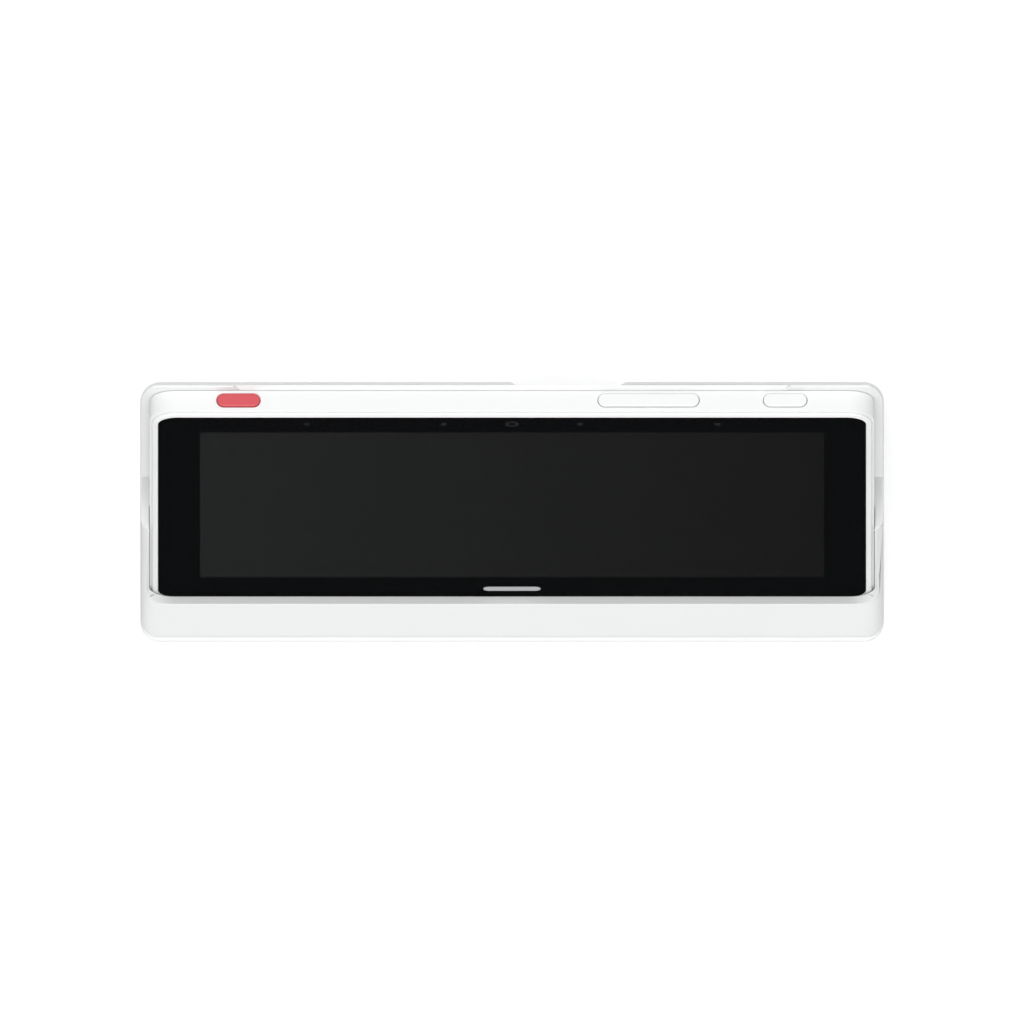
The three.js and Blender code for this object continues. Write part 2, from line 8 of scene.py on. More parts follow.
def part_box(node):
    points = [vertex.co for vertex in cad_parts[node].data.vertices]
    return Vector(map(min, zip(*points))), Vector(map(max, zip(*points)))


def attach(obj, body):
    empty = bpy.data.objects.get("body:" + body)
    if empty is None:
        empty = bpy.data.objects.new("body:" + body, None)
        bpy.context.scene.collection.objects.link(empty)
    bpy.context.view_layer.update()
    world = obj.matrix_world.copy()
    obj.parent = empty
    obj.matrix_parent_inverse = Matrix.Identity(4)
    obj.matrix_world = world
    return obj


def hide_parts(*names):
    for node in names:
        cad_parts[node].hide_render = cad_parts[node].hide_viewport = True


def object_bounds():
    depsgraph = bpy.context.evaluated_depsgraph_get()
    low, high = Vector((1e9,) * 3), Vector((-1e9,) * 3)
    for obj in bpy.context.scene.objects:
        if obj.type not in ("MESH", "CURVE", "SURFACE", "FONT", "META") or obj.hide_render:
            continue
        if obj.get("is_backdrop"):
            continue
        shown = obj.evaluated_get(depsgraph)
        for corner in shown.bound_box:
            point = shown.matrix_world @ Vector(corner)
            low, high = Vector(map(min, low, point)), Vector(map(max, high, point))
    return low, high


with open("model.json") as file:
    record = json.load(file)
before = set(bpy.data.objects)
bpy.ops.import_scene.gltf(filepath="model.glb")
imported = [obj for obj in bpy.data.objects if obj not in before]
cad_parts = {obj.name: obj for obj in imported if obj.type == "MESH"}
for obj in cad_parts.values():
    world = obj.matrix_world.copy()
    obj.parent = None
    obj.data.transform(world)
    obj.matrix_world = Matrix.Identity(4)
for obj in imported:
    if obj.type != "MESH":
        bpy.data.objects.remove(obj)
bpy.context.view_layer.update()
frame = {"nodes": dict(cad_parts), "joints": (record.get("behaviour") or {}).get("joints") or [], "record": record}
print("frame loaded:", len(frame["nodes"]), "nodes")

# Shapes are made in millimetres and scaled down once, when a piece is finished.
toMetres = Matrix.Scale(0.001, 4)
smoothAngle = math.radians(32)


def boxMm(node):
    low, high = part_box(node)
    return low * 1000, high * 1000


# The display unit's own frame: x across, y up the glass from its bottom edge, z out of the glass.
glass = {"thickness": 0.7, "edgeRound": 0.22, "cornerRadius": 5.3}
liftAxis = next(Vector(j["axis"]) for j in frame["joints"] if j["name"] == "display_lift").normalized()
leanSin, leanCos = liftAxis.y, liftAxis.z
glassLow, glassHigh = boxMm("cover_glass")
glass["width"] = glassHigh.x - glassLow.x
glass["height"] = (glassHigh.z - glassLow.z - glass["thickness"] * leanSin) / leanCos
slabOrigin = Vector((
    0,
    glassHigh.y - glass["thickness"] * leanCos - glass["height"] * leanSin,
    glassHigh.z - glass["height"] * leanCos,
))
slabFrame = Matrix.Translation(slabOrigin) @ Matrix.Rotation(math.pi / 2 - math.asin(leanSin), 4, "X")


def slabPoint(y, z):
    p = slabFrame @ Vector((0, y, z))
    return p.y, p.z


# ---- camera, lights and floor ----
view = {"width": 0.28264, "height": 0.9}

cameraData = bpy.data.cameras.new("camera")
cameraData.type = "ORTHO"
cameraData.ortho_scale = view["width"]
cameraData.clip_end = 10
camera = bpy.data.objects.new("camera", cameraData)
camera.location = (0, 0, view["height"])
bpy.context.scene.collection.objects.link(camera)
bpy.context.scene.camera = camera

studio = {
    "fill": 0.48, "glossyTop": 0.45, "floorGlow": 0.25,
    "top": {"place": (-0.06, 0.1, 1.5), "aim": (0, 0, 0.05), "size": 0.9, "power": 11.2},
    "key": {"place": (-0.9, -0.3, 1.2), "aim": (0, 0, 0.06), "size": 0.6, "power": 0.6},
    "front": {"place": (0.1, -1.1, 0.9), "aim": (0, 0, 0.06), "size": 0.8, "power": 3.6},
}


def addNode(tree, kind, settings=None, links=None, **places):
    node = tree.nodes.new(kind)
    for key, value in (settings or {}).items():
        if key in node.inputs:
            node.inputs[key].default_value = value
        else:
            setattr(node, key, value)
    for key, socket in (links or {}).items():
        tree.links.new(socket, node.inputs[key])
    for key, value in places.items():
        node.inputs[int(key[1:])].default_value = value
    return node


def linear(hexColour):
    channels = [int(hexColour[i:i + 2], 16) / 255 for i in (1, 3, 5)]
    return [c / 12.92 if c <= 0.04045 else ((c + 0.055) / 1.055) ** 2.4 for c in channels] + [1.0]


def areaLight(name, place, aim, size, power):
    data = bpy.data.lights.new(name, "AREA")
    data.size, data.energy = size, power
    light = bpy.data.objects.new(name, data)
    light.location = place
    light.rotation_euler = (Vector(aim) - Vector(place)).to_track_quat("-Z", "Y").to_euler()
    bpy.context.scene.collection.objects.link(light)


for lightName in ("top", "key", "front"):
    areaLight(lightName + "Light", **studio[lightName])

world = bpy.data.worlds.new("studio")
bpy.context.scene.world = world
world.use_nodes = True
sky = world.node_tree
sky.nodes.clear()
rays = addNode(sky, "ShaderNodeLightPath")
direction = addNode(sky, "ShaderNodeTexCoord")
heightSplit = addNode(sky, "ShaderNodeSeparateXYZ", links={"Vector": direction.outputs["Generated"]})
glossRamp = addNode(sky, "ShaderNodeMapRange", {"From Min": -0.05, "From Max": 1.0, "To Min": 0.0,
                    "To Max": studio["glossyTop"]}, {"Value": heightSplit.outputs["Z"]})
fillLight = addNode(sky, "ShaderNodeBackground", {"Color": (1, 1, 1, 1), "Strength": studio["fill"]})
glossLight = addNode(sky, "ShaderNodeBackground", {"Color": (1, 1, 1, 1)},
                     {"Strength": glossRamp.outputs["Result"]})
whiteSky = addNode(sky, "ShaderNodeBackground", {"Color": (1, 1, 1, 1), "Strength": 1.0})
byGloss = addNode(sky, "ShaderNodeMixShader", None,
                  {0: rays.outputs["Is Glossy Ray"], 1: fillLight.outputs[0], 2: glossLight.outputs[0]})
byCamera = addNode(sky, "ShaderNodeMixShader", None,
                   {0: rays.outputs["Is Camera Ray"], 1: byGloss.outputs[0], 2: whiteSky.outputs[0]})
addNode(sky, "ShaderNodeOutputWorld", None, {"Surface": byCamera.outputs[0]})
bpy.context.scene.view_settings.view_transform = "Standard"


# ---- materials ----
def newMaterial(name):
    material = bpy.data.materials.new(name)
    material.use_nodes = True
    tree = material.node_tree
    tree.nodes.clear()
    place = addNode(tree, "ShaderNodeTexCoord").outputs["Object"]
    shader = addNode(tree, "ShaderNodeBsdfPrincipled")
    addNode(tree, "ShaderNodeOutputMaterial", None, {"Surface": shader.outputs[0]})
    return material, tree, shader, place


def mouldedPlastic(name, colour, shade, roughness, grainMm, grainDepthMm, ior=1.53):
    # moulded plastic: an even body colour under a fine spark-eroded grain that softens the gloss
    material, tree, shader, place = newMaterial(name)
    flow = addNode(tree, "ShaderNodeTexNoise", {"Scale": 1 / 0.045, "Detail": 2.0}, {"Vector": place})
    tint = addNode(tree, "ShaderNodeMix", {"data_type": "RGBA"}, {"Factor": flow.outputs["Fac"]})
    tint.inputs["A"].default_value = linear(colour)
    tint.inputs["B"].default_value = linear(shade)
    grain = addNode(tree, "ShaderNodeTexNoise", {"Scale": 1000 / grainMm, "Detail": 2.0}, {"Vector": place})
    rough = addNode(tree, "ShaderNodeMapRange", {"To Min": roughness - 0.05, "To Max": roughness + 0.05},
                    {"Value": grain.outputs["Fac"]})
    bump = addNode(tree, "ShaderNodeBump", {"Strength": 0.35, "Distance": grainDepthMm / 1000},
                   {"Height": grain.outputs["Fac"]})
    tree.links.new(tint.outputs["Result"], shader.inputs["Base Color"])
    tree.links.new(rough.outputs["Result"], shader.inputs["Roughness"])
    tree.links.new(bump.outputs["Normal"], shader.inputs["Normal"])
    shader.inputs["IOR"].default_value = ior
    return material


def plainMetal(name, colour, roughness, brushMm):
    # worked metal: roughness follows short tool marks, and the colour hardly varies
    material, tree, shader, place = newMaterial(name)
    stretch = addNode(tree, "ShaderNodeMapping", {"Scale": (60.0, 1000 / brushMm, 1000 / brushMm)},
                      {"Vector": place})
    marks = addNode(tree, "ShaderNodeTexNoise", {"Scale": 1.0, "Detail": 3.0},
                    {"Vector": stretch.outputs["Vector"]})
    rough = addNode(tree, "ShaderNodeMapRange", {"To Min": roughness - 0.08, "To Max": roughness + 0.12},
                    {"Value": marks.outputs["Fac"]})
    bump = addNode(tree, "ShaderNodeBump", {"Strength": 0.2, "Distance": 0.00003},
                   {"Height": marks.outputs["Fac"]})
    shader.inputs["Base Color"].default_value = linear(colour)
    shader.inputs["Metallic"].default_value = 1.0
    tree.links.new(rough.outputs["Result"], shader.inputs["Roughness"])
    tree.links.new(bump.outputs["Normal"], shader.inputs["Normal"])
    return material


screen = {"width": 172.2, "height": 107.6, "bottom": 15.2, "softEdge": 0.12}
prints = {
    "fromTop": 4.9, "ringOuter": 1.9, "ringInner": 1.1, "ringColour": "#303132", "ringMiddle": "#131314",
    "portX": (18.8, 56.7), "portRadius": 0.85, "portColour": "#323334",
    "barY": 6.5, "barLength": 15.8, "barHeight": 3.0, "barColour": "#C6C8C9",
}


def printedGlass():
    # strengthened glass over a black printed border: the unlit screen is a touch greyer than the print
    material, tree, shader, place = newMaterial("bondedCoverGlass")
    turn = addNode(tree, "ShaderNodeMapping", {"vector_type": "TEXTURE"}, {"Vector": place})
    turn.inputs["Location"].default_value = slabOrigin / 1000
    turn.inputs["Rotation"].default_value = (math.pi / 2 - math.asin(leanSin), 0, 0)
    axes = addNode(tree, "ShaderNodeSeparateXYZ", None, {"Vector": turn.outputs["Vector"]})
    fromMiddle = addNode(tree, "ShaderNodeMath", {"operation": "ABSOLUTE"}, {0: axes.outputs["X"]})
    middleY = (screen["bottom"] + screen["height"] / 2) / 1000
    offsetY = addNode(tree, "ShaderNodeMath", {"operation": "SUBTRACT"}, {0: axes.outputs["Y"]}, _1=middleY)
    fromMiddleY = addNode(tree, "ShaderNodeMath", {"operation": "ABSOLUTE"}, {0: offsetY.outputs[0]})
    edge = screen["softEdge"] / 1000
    inside = []
    for distance, half in ((fromMiddle, screen["width"] / 2000), (fromMiddleY, screen["height"] / 2000)):
        inside.append(addNode(tree, "ShaderNodeMapRange", {"From Min": half + edge,
                                                           "From Max": half - edge},
                              {"Value": distance.outputs[0]}).outputs["Result"])
    lit = addNode(tree, "ShaderNodeMath", {"operation": "MULTIPLY"}, {0: inside[0], 1: inside[1]})
    # painted reflection: the unlit screen's colour runs from lighter at the left to darker at the right, standing
    # in for light it reflects
    paintedReflectionRamp = addNode(tree, "ShaderNodeMapRange", {"From Min": -0.086, "From Max": 0.086},
                    {"Value": axes.outputs["X"]})
    panel = addNode(tree, "ShaderNodeMix", {"data_type": "RGBA"}, {"Factor": paintedReflectionRamp.outputs["Result"]})
    panel.inputs["A"].default_value = linear("#272828")
    panel.inputs["B"].default_value = linear("#1D1D1D")
    colour = addNode(tree, "ShaderNodeMix", {"data_type": "RGBA"},
                     {"Factor": lit.outputs[0], "B": panel.outputs["Result"]})
    colour.inputs["A"].default_value = linear("#101112")
    smears = addNode(tree, "ShaderNodeTexNoise", {"Scale": 1 / 0.03, "Detail": 4.0}, {"Vector": place})
    rough = addNode(tree, "ShaderNodeMapRange", {"To Min": 0.03, "To Max": 0.09},
                    {"Value": smears.outputs["Fac"]})
    # marks printed on the border: a ring round the light sensor, four microphone ports and a plain bar
    def stretch(distance, half):
        return addNode(tree, "ShaderNodeMath", {"operation": "SUBTRACT"}, {0: distance.outputs[0]},
                       _1=half / 1000)

    def markMask(across, along, radius, edgeMm=0.05):
        joinedAxes = addNode(tree, "ShaderNodeCombineXYZ", None,
                             {"X": across.outputs[0], "Y": along.outputs[0]})
        reach = addNode(tree, "ShaderNodeVectorMath", {"operation": "LENGTH"}, {0: joinedAxes.outputs[0]})
        return addNode(tree, "ShaderNodeMapRange", {"From Min": (radius + edgeMm) / 1000,
                                                    "From Max": (radius - edgeMm) / 1000},
                       {"Value": reach.outputs["Value"]})
    high = addNode(tree, "ShaderNodeMath", {"operation": "SUBTRACT"}, {0: axes.outputs["Y"]},
                   _1=(glass["height"] - prints["fromTop"]) / 1000)
    low = addNode(tree, "ShaderNodeMath", {"operation": "SUBTRACT"}, {0: axes.outputs["Y"]},
                  _1=prints["barY"] / 1000)
    nearPair = addNode(tree, "ShaderNodeMath", {"operation": "ABSOLUTE"},
                       {0: stretch(fromMiddle, (prints["portX"][0] + prints["portX"][1]) / 2).outputs[0]})
    ports = stretch(nearPair, (prints["portX"][1] - prints["portX"][0]) / 2)
    bar = addNode(tree, "ShaderNodeMath", {"operation": "MAXIMUM"},
                  {0: stretch(fromMiddle, (prints["barLength"] - prints["barHeight"]) / 2).outputs[0]},
                  _1=0.0)
    layers = (
        (fromMiddle, high, prints["ringOuter"], prints["ringColour"]),
        (fromMiddle, high, prints["ringInner"], prints["ringMiddle"]),
        (ports, high, prints["portRadius"], prints["portColour"]),
        (bar, low, prints["barHeight"] / 2, prints["barColour"]),
    )
    painted = colour
    for across, along, radius, hexColour in layers:
        mask = markMask(across, along, radius)
        painted = addNode(tree, "ShaderNodeMix", {"data_type": "RGBA"},
                          {"Factor": mask.outputs["Result"], "A": painted.outputs["Result"]})
        painted.inputs["B"].default_value = linear(hexColour)
    tree.links.new(painted.outputs["Result"], shader.inputs["Base Color"])
    tree.links.new(rough.outputs["Result"], shader.inputs["Roughness"])
    shader.inputs["IOR"].default_value = 1.51
    return material


def softRubber():
    # silicone rubber: dull, slightly dusty, with a skin too fine to see drawn as a coarse bloom
    material, tree, shader, place = newMaterial("siliconeRubber")
    bloom = addNode(tree, "ShaderNodeTexNoise", {"Scale": 1 / 0.002, "Detail": 5.0}, {"Vector": place})
    tint = addNode(tree, "ShaderNodeMix", {"data_type": "RGBA"}, {"Factor": bloom.outputs["Fac"]})
    tint.inputs["A"].default_value = linear("#7C7E80")
    tint.inputs["B"].default_value = linear("#94969A")
    bump = addNode(tree, "ShaderNodeBump", {"Strength": 0.3, "Distance": 0.00004},
                   {"Height": bloom.outputs["Fac"]})
    tree.links.new(tint.outputs["Result"], shader.inputs["Base Color"])
    tree.links.new(bump.outputs["Normal"], shader.inputs["Normal"])
    shader.inputs["Roughness"].default_value = 0.85
    shader.inputs["IOR"].default_value = 1.41
    return material


def solderMask():
    # glass-epoxy board under green solder mask: straight tracks show as slightly lighter lines
    material, tree, shader, place = newMaterial("greenSolderMask")
    tracks = addNode(tree, "ShaderNodeTexBrick", {"Scale": 1.0, "Mortar Size": 0.0002, "Brick Width": 0.007,
                     "Row Height": 0.0016}, {"Vector": place})
    tracks.inputs["Color1"].default_value = linear("#17553A")
    tracks.inputs["Color2"].default_value = linear("#1B5F41")
    tracks.inputs["Mortar"].default_value = linear("#2F7F58")
    tree.links.new(tracks.outputs["Color"], shader.inputs["Base Color"])
    shader.inputs["Roughness"].default_value = 0.35
    shader.inputs["IOR"].default_value = 1.55
    return material


def pouchFoil():
    # laminated pouch foil: low wrinkles from being pressed flat
    material, tree, shader, place = newMaterial("pouchFoil")
    folds = addNode(tree, "ShaderNodeTexNoise", {"Scale": 1 / 0.012, "Detail": 3.0}, {"Vector": place})
    bump = addNode(tree, "ShaderNodeBump", {"Strength": 0.5, "Distance": 0.0002},
                   {"Height": folds.outputs["Fac"]})
    rough = addNode(tree, "ShaderNodeMapRange", {"To Min": 0.3, "To Max": 0.5},
                    {"Value": folds.outputs["Fac"]})
    shader.inputs["Base Color"].default_value = linear("#3A3D42")
    tree.links.new(rough.outputs["Result"], shader.inputs["Roughness"])
    tree.links.new(bump.outputs["Normal"], shader.inputs["Normal"])
    return material


finishes = {
    "dock_white": mouldedPlastic("whiteAbsDock", "#F4F5F5", "#F1F2F2", 0.48, 0.35, 0.012),
    "casing_white": mouldedPlastic("whiteAbsCasing", "#F7F8F8", "#F5F6F6", 0.42, 0.25, 0.008),
    "lip_white": mouldedPlastic("whiteAbsLip", "#FAFAFA", "#F8F8F8", 0.3, 0.2, 0.003),
    "red_key": mouldedPlastic("coralRedKey", "#DD5961", "#DA555E", 0.4, 0.25, 0.006),
    "white_key": mouldedPlastic("whiteKey", "#F8F9F9", "#F6F7F7", 0.38, 0.25, 0.006),
    "cover_glass": printedGlass(),
    "display_panel": mouldedPlastic("unlitPanel", "#242526", "#222324", 0.25, 0.3, 0.002),
    "rubber_foot": softRubber(),
    "steel": plainMetal("zincPlatedSteel", "#A3A5A8", 0.34, 0.25),
    "aluminium": plainMetal("stampedAluminium", "#C3C5C8", 0.4, 0.3),
    "contact_gold": plainMetal("goldPlatedBrass", "#E0B45A", 0.22, 0.2),
    "circuit_board": solderMask(),
    "black_plastic": mouldedPlastic("blackNylon", "#1C1D1F", "#222326", 0.55, 0.3, 0.01),
    "battery_foil": pouchFoil(),
}
print("materials made:", len(finishes))


# ---- shape helpers ----
def roundedRing(width, height, radius, cx=0.0, cy=0.0, steps=10):
    ring = []
    for corner, (sx, sy) in enumerate(((1, -1), (1, 1), (-1, 1), (-1, -1))):
        middle = Vector((cx + sx * (width / 2 - radius), cy + sy * (height / 2 - radius)))
        for i in range(steps + 1):
            angle = (corner - 1 + i / steps) * math.pi / 2
            ring.append(middle + radius * Vector((math.cos(angle), math.sin(angle))))
    return ring


def meshObject(name, bm):
    mesh = bpy.data.meshes.new(name)
    bm.to_mesh(mesh)
    bm.free()
    made = bpy.data.objects.new(name, mesh)
    bpy.context.scene.collection.objects.link(made)
    return made


def ringStack(name, rings, closed=False):
    # rings are lists of 3-D points with equal counts; closed joins the last ring to the first
    bm = bmesh.new()
    rows = [[bm.verts.new(p) for p in ring] for ring in rings]
    count = len(rows[0])
    pairs = list(zip(rows, rows[1:])) + ([(rows[-1], rows[0])] if closed else [])
    for low, high in pairs:
        for i in range(count):
            j = (i + 1) % count
            bm.faces.new((low[i], low[j], high[j], high[i]))
    if not closed:
        bm.faces.new(list(reversed(rows[0])))
        bm.faces.new(rows[-1])
    bmesh.ops.recalc_face_normals(bm, faces=bm.faces)
    return meshObject(name, bm)


def outlineStack(name, size, radius, profile, centre=(0, 0), steps=10, closed=False):
    # profile is a list of (inset, z): each makes one ring of the rounded rectangle, shrunk by the inset
    width, height = size
    rings = []
    for inset, z in profile:
        ring = roundedRing(width - 2 * inset, height - 2 * inset, max(radius - inset, 0.02), *centre, steps)
        rings.append([(p.x, p.y, z) for p in ring])
    return ringStack(name, rings, closed)


def fillet(inset, z, radius, fromUpright, steps=4, inward=1, up=1):
    # a quarter round: from the upright wall over to the flat, or from the flat down to the wall
    points = []
    for i in range(steps + 1):
        a = i / steps * math.pi / 2
        a = a if fromUpright else math.pi / 2 - a
        points.append((inset + inward * radius * (1 - math.cos(a)), z - up * radius * (1 - math.sin(a))))
    return points


def edgeStack(name, length, width, x, z, profile, steps=10):
    # a stadium that lies on the display unit's top or bottom edge; profile is (inset, y)
    made = outlineStack(name, (length, width), width / 2 - 0.01, profile, (x, -z), steps)
    made.data.transform(Matrix.Rotation(-math.pi / 2, 4, "X"))
    return made


def boxPiece(name, low, high):
    bm = bmesh.new()
    bmesh.ops.create_cube(bm, size=1)
    for v in bm.verts:
        v.co = [a + (c + 0.5) * (b - a) for a, b, c in zip(low, high, v.co)]
    return meshObject(name, bm)


def turned(name, profile, centre=(0, 0), sides=24):
    # profile is (radius, height) about an upright axis
    rings = []
    for radius, z in profile:
        rings.append([(centre[0] + radius * math.cos(a), centre[1] + radius * math.sin(a), z)
                      for a in (2 * math.pi * i / sides for i in range(sides))])
    return ringStack(name, rings)


def alongEdge(made):
    # turns an upright piece so that it stands along the display's y axis
    made.data.transform(Matrix.Rotation(-math.pi / 2, 4, "X"))
    return made


def joined(made, other):
    bm = bmesh.new()
    bm.from_mesh(made.data)
    bm.from_mesh(other.data)
    bm.to_mesh(made.data)
    bm.free()
    bpy.data.objects.remove(other)
    return made


def sideRun(name, points, x0, x1):
    # a side profile of (y, z) points, run across the dock
    return ringStack(name, [[(x0, y, z) for y, z in points], [(x1, y, z) for y, z in points]])


def bakeShape(made):
    graph = bpy.context.evaluated_depsgraph_get()
    mesh = bpy.data.meshes.new_from_object(made.evaluated_get(graph), depsgraph=graph)
    made.modifiers.clear()
    made.data = mesh
    return made


def combine(made, tool, operation="DIFFERENCE"):
    step = made.modifiers.new("combine", "BOOLEAN")
    step.object, step.operation, step.solver = tool, operation, "MANIFOLD"
    bakeShape(made)
    if not made.data.polygons:
        raise RuntimeError("nothing left of " + made.name + " after " + tool.name)
    bpy.data.objects.remove(tool)
    return made


def roundEdges(made, width, segments=3, sharper=28, weigh=None):
    # rounds every sharp edge; weigh gives an edge its share of the full width
    bm = bmesh.new()
    bm.from_mesh(made.data)
    bmesh.ops.remove_doubles(bm, verts=bm.verts, dist=0.003)
    bmesh.ops.dissolve_limit(bm, angle_limit=math.radians(0.4), verts=bm.verts, edges=bm.edges)
    share = bm.edges.layers.float.new("bevel_weight_edge")
    limit = math.radians(sharper)
    for edge in bm.edges:
        if len(edge.link_faces) == 2 and edge.calc_face_angle(0) > limit:
            edge[share] = weigh(edge) if weigh else 1.0
    bm.to_mesh(made.data)
    bm.free()
    step = made.modifiers.new("round", "BEVEL")
    step.width, step.segments, step.limit_method = width, segments, "WEIGHT"
    step.use_clamp_overlap, step.miter_outer = False, "MITER_ARC"
    return bakeShape(made)


def repeatTree():
    # rows and columns of one piece
    tree = bpy.data.node_groups.new("repeatPiece", "GeometryNodeTree")
    for label, kind in (("Holder", "Geometry"), ("Piece", "Object"), ("Start", "Vector"),
                        ("Step", "Vector"),
                        ("Count", "Int"), ("Row Step", "Vector"), ("Rows", "Int"), ("Finish", "Material")):
        tree.interface.new_socket(name=label, in_out="INPUT", socket_type="NodeSocket" + kind)
    tree.interface.new_socket(name="Pieces", in_out="OUTPUT", socket_type="NodeSocketGeometry")
    given = addNode(tree, "NodeGroupInput").outputs
    column = addNode(tree, "GeometryNodeMeshLine", {"mode": "OFFSET"},
                     {"Count": given["Count"], "Offset": given["Step"],
                     "Start Location": given["Start"]})
    rows = addNode(tree, "GeometryNodeMeshLine", {"mode": "OFFSET"},
                   {"Count": given["Rows"], "Offset": given["Row Step"]})
    grid = addNode(tree, "GeometryNodeInstanceOnPoints", None, {"Points": rows.outputs["Mesh"],
                   "Instance": column.outputs["Mesh"]})
    places = addNode(tree, "GeometryNodeRealizeInstances", None, {"Geometry": grid.outputs["Instances"]})
    piece = addNode(tree, "GeometryNodeObjectInfo", None, {"Object": given["Piece"]})
    placed = addNode(tree, "GeometryNodeInstanceOnPoints", None, {"Points": places.outputs[0],
                     "Instance": piece.outputs["Geometry"]})
    real = addNode(tree, "GeometryNodeRealizeInstances", None, {"Geometry": placed.outputs["Instances"]})
    painted = addNode(tree, "GeometryNodeSetMaterial", None,
                      {"Geometry": real.outputs[0], "Material": given["Finish"]})
    addNode(tree, "NodeGroupOutput", None, {"Pieces": painted.outputs[0]})
    return tree


repeatPiece = repeatTree()


def runTree(holder, tree, values):
    step = holder.modifiers.new("tree", "NODES")
    step.node_group = tree
    names = {item.name: item.identifier for item in tree.interface.items_tree if item.in_out == "INPUT"}
    for label, value in values.items():
        step[names[label]] = value
    return bakeShape(holder)


def repeated(name, piece, start, step, count, slotName, rowStep=(0, 0, 0), rows=1):
    holder = meshObject(name, bmesh.new())
    runTree(holder, repeatPiece, {"Piece": piece, "Start": tuple(start), "Step": tuple(step),
                                  "Count": count,
                                  "Row Step": tuple(rowStep), "Rows": rows, "Finish": finishes[slotName]})
    bpy.data.objects.remove(piece)
    return holder


def finishPiece(made, name, body, slotName, nodes, inSlab=True, smooth=smoothAngle):
    place = toMetres @ slabFrame if inSlab else toMetres
    made.data.transform(place)
    made.name = made.data.name = name
    made.data.materials.clear()
    made.data.materials.append(finishes[slotName])
    for face in made.data.polygons:
        face.use_smooth = True
    made.data.set_sharp_from_angle(angle=smooth)
    weigh = made.modifiers.new("weigh", "WEIGHTED_NORMAL")
    weigh.keep_sharp = True
    bakeShape(made)
    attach(made, body)
    if nodes:
        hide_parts(*nodes)
    return made


# ---- dock shell ----
dock = {
    "cornerRadius": 5.0, "wall": 2.0, "lipFootZ": 4.4, "crest": (-25.45, 18.5),
    "lipRoof": ((-28.6, 9.6), (-25.6, 10.4)),
    "clearance": 0.3, "backGap": 0.09, "sideGap": 0.1, "slabThickness": 7.2, "ledgeMargin": 2.2,
    "bodyMargin": 2.3,
    "pocketRadius": 7.5, "pocketFront": 0.37, "armTop": 58, "armStand": 1.2, "backrestFront": 2.0,
    "mouth": ((0, 7.2, 1.85, 0.36), (6.2, 8.4, 2.62, 3.4)),
    "outerRound": 0.45, "lipRound": 0.22, "armRound": 0.14, "smooth": 24, "bossRadius": 3.3,
    "bossTop": 13.0,
    "screwHole": 1.4, "screwHoleTop": 11.0,
    "bosses": ((-97.4, -9), (97.4, -9), (-97.4, 26), (97.4, 26)), "seam": 0.3,
}
scoop = {"x": 98.5, "y": 61, "z": -4.5, "reachX": 11, "radius": 11.0, "padX": 84, "padHalf": 14.5,
         "padBack": -19.5}
dip = {"half": 77, "taper": 2.5, "slope": 27, "below": 0.3, "reach": 20}
recess = {"x": (1.6, 29.5), "top": 13.2, "front": 23.2, "radius": 2.4, "wall": 1.6}
socket = {"width": 9.0, "height": 3.3, "z": 8.4, "length": 7.3, "inset": 0.4, "corner": 1.6, "sheet": 0.35,
          "tongueHalf": 3.2, "tongueRise": 0.35}
contacts = {"count": 4, "pitch": 4.0, "z": -4.0, "radius": 0.6, "blockWidth": 20, "blockDepth": 4.4,
            "blockHeight": 3, "blockDrop": 0.8, "blockGap": 0.6, "boreSpare": 0.2, "padRadius": 0.8,
            "holderWidth": 17, "holderDepth": 2.8, "holderBore": 1.1}
shellLow, shellHigh = boxMm("dock_shell")
pocketBack = -(dock["slabThickness"] + dock["backGap"])
slabHalfWidth = glass["width"] / 2 + dock["bodyMargin"]
slabTop = glass["height"] + dock["bodyMargin"]
ledgeTop = slabTop + dock["ledgeMargin"]
far = 30


def dockOutline(frontY, z, steps=12):
    depth, middle = shellHigh.y - frontY, (shellHigh.y + frontY) / 2
    ring = roundedRing(shellHigh.x - shellLow.x, depth, dock["cornerRadius"], 0, middle, steps)
    return [(p.x, p.y, z) for p in ring]


def buildDockBlock():
    # the front leans back in two slopes, so every height has its own rounded outline
    armY, armZ = slabPoint(dock["armTop"], dock["armStand"])
    crestY, crestZ = dock["crest"]
    slope = (armY - crestY) / (armZ - crestZ)
    top = armZ + 5
    footRound = 0.8
    levels = [(shellLow.y, shellLow.z), (shellLow.y, dock["lipFootZ"] - footRound),
              (shellLow.y + footRound * 0.15, dock["lipFootZ"]),
              (shellLow.y + footRound * 0.64, dock["lipFootZ"] + footRound), (crestY, crestZ)]
    levels += [(crestY + slope * (z - crestZ),
                z) for z in (crestZ + (top - crestZ) * i / 4 for i in range(1, 5))]
    block = ringStack("dockShell", [dockOutline(y, z) for y, z in levels])
    rest = ringStack("backrest", [dockOutline(shellLow.y, z) for z in (top - 12, shellHigh.z + far)])
    wide = shellHigh.x + 10
    front = boxPiece("front", (-wide, -60, 0), (wide, dock["backrestFront"], shellHigh.z + 2 * far))
    combine(block, combine(rest, front), "UNION")
    side = [
        (-60, -far), (-60, crestZ + 40), (crestY - 1, crestZ + 40), (crestY - 1, crestZ + 3), (armY, armZ),
        slabPoint(dock["armTop"], pocketBack), slabPoint(ledgeTop, pocketBack),
        (shellHigh.y + 1, slabPoint(ledgeTop, pocketBack)[1]), (shellHigh.y + 1, -far),
    ]
    return combine(block, sideRun("side", side, -wide, wide), "INTERSECT")


def pocketTool():
    width = 2 * (slabHalfWidth + dock["sideGap"])
    height = glass["height"] + 2 * far
    floorY = -dock["bodyMargin"] - dock["clearance"]
    pocket = outlineStack("pocket", (width, height), dock["pocketRadius"],
                          [(0, pocketBack), (0, dock["pocketFront"])],
                          (0, floorY + height / 2), 12)
    return pocket


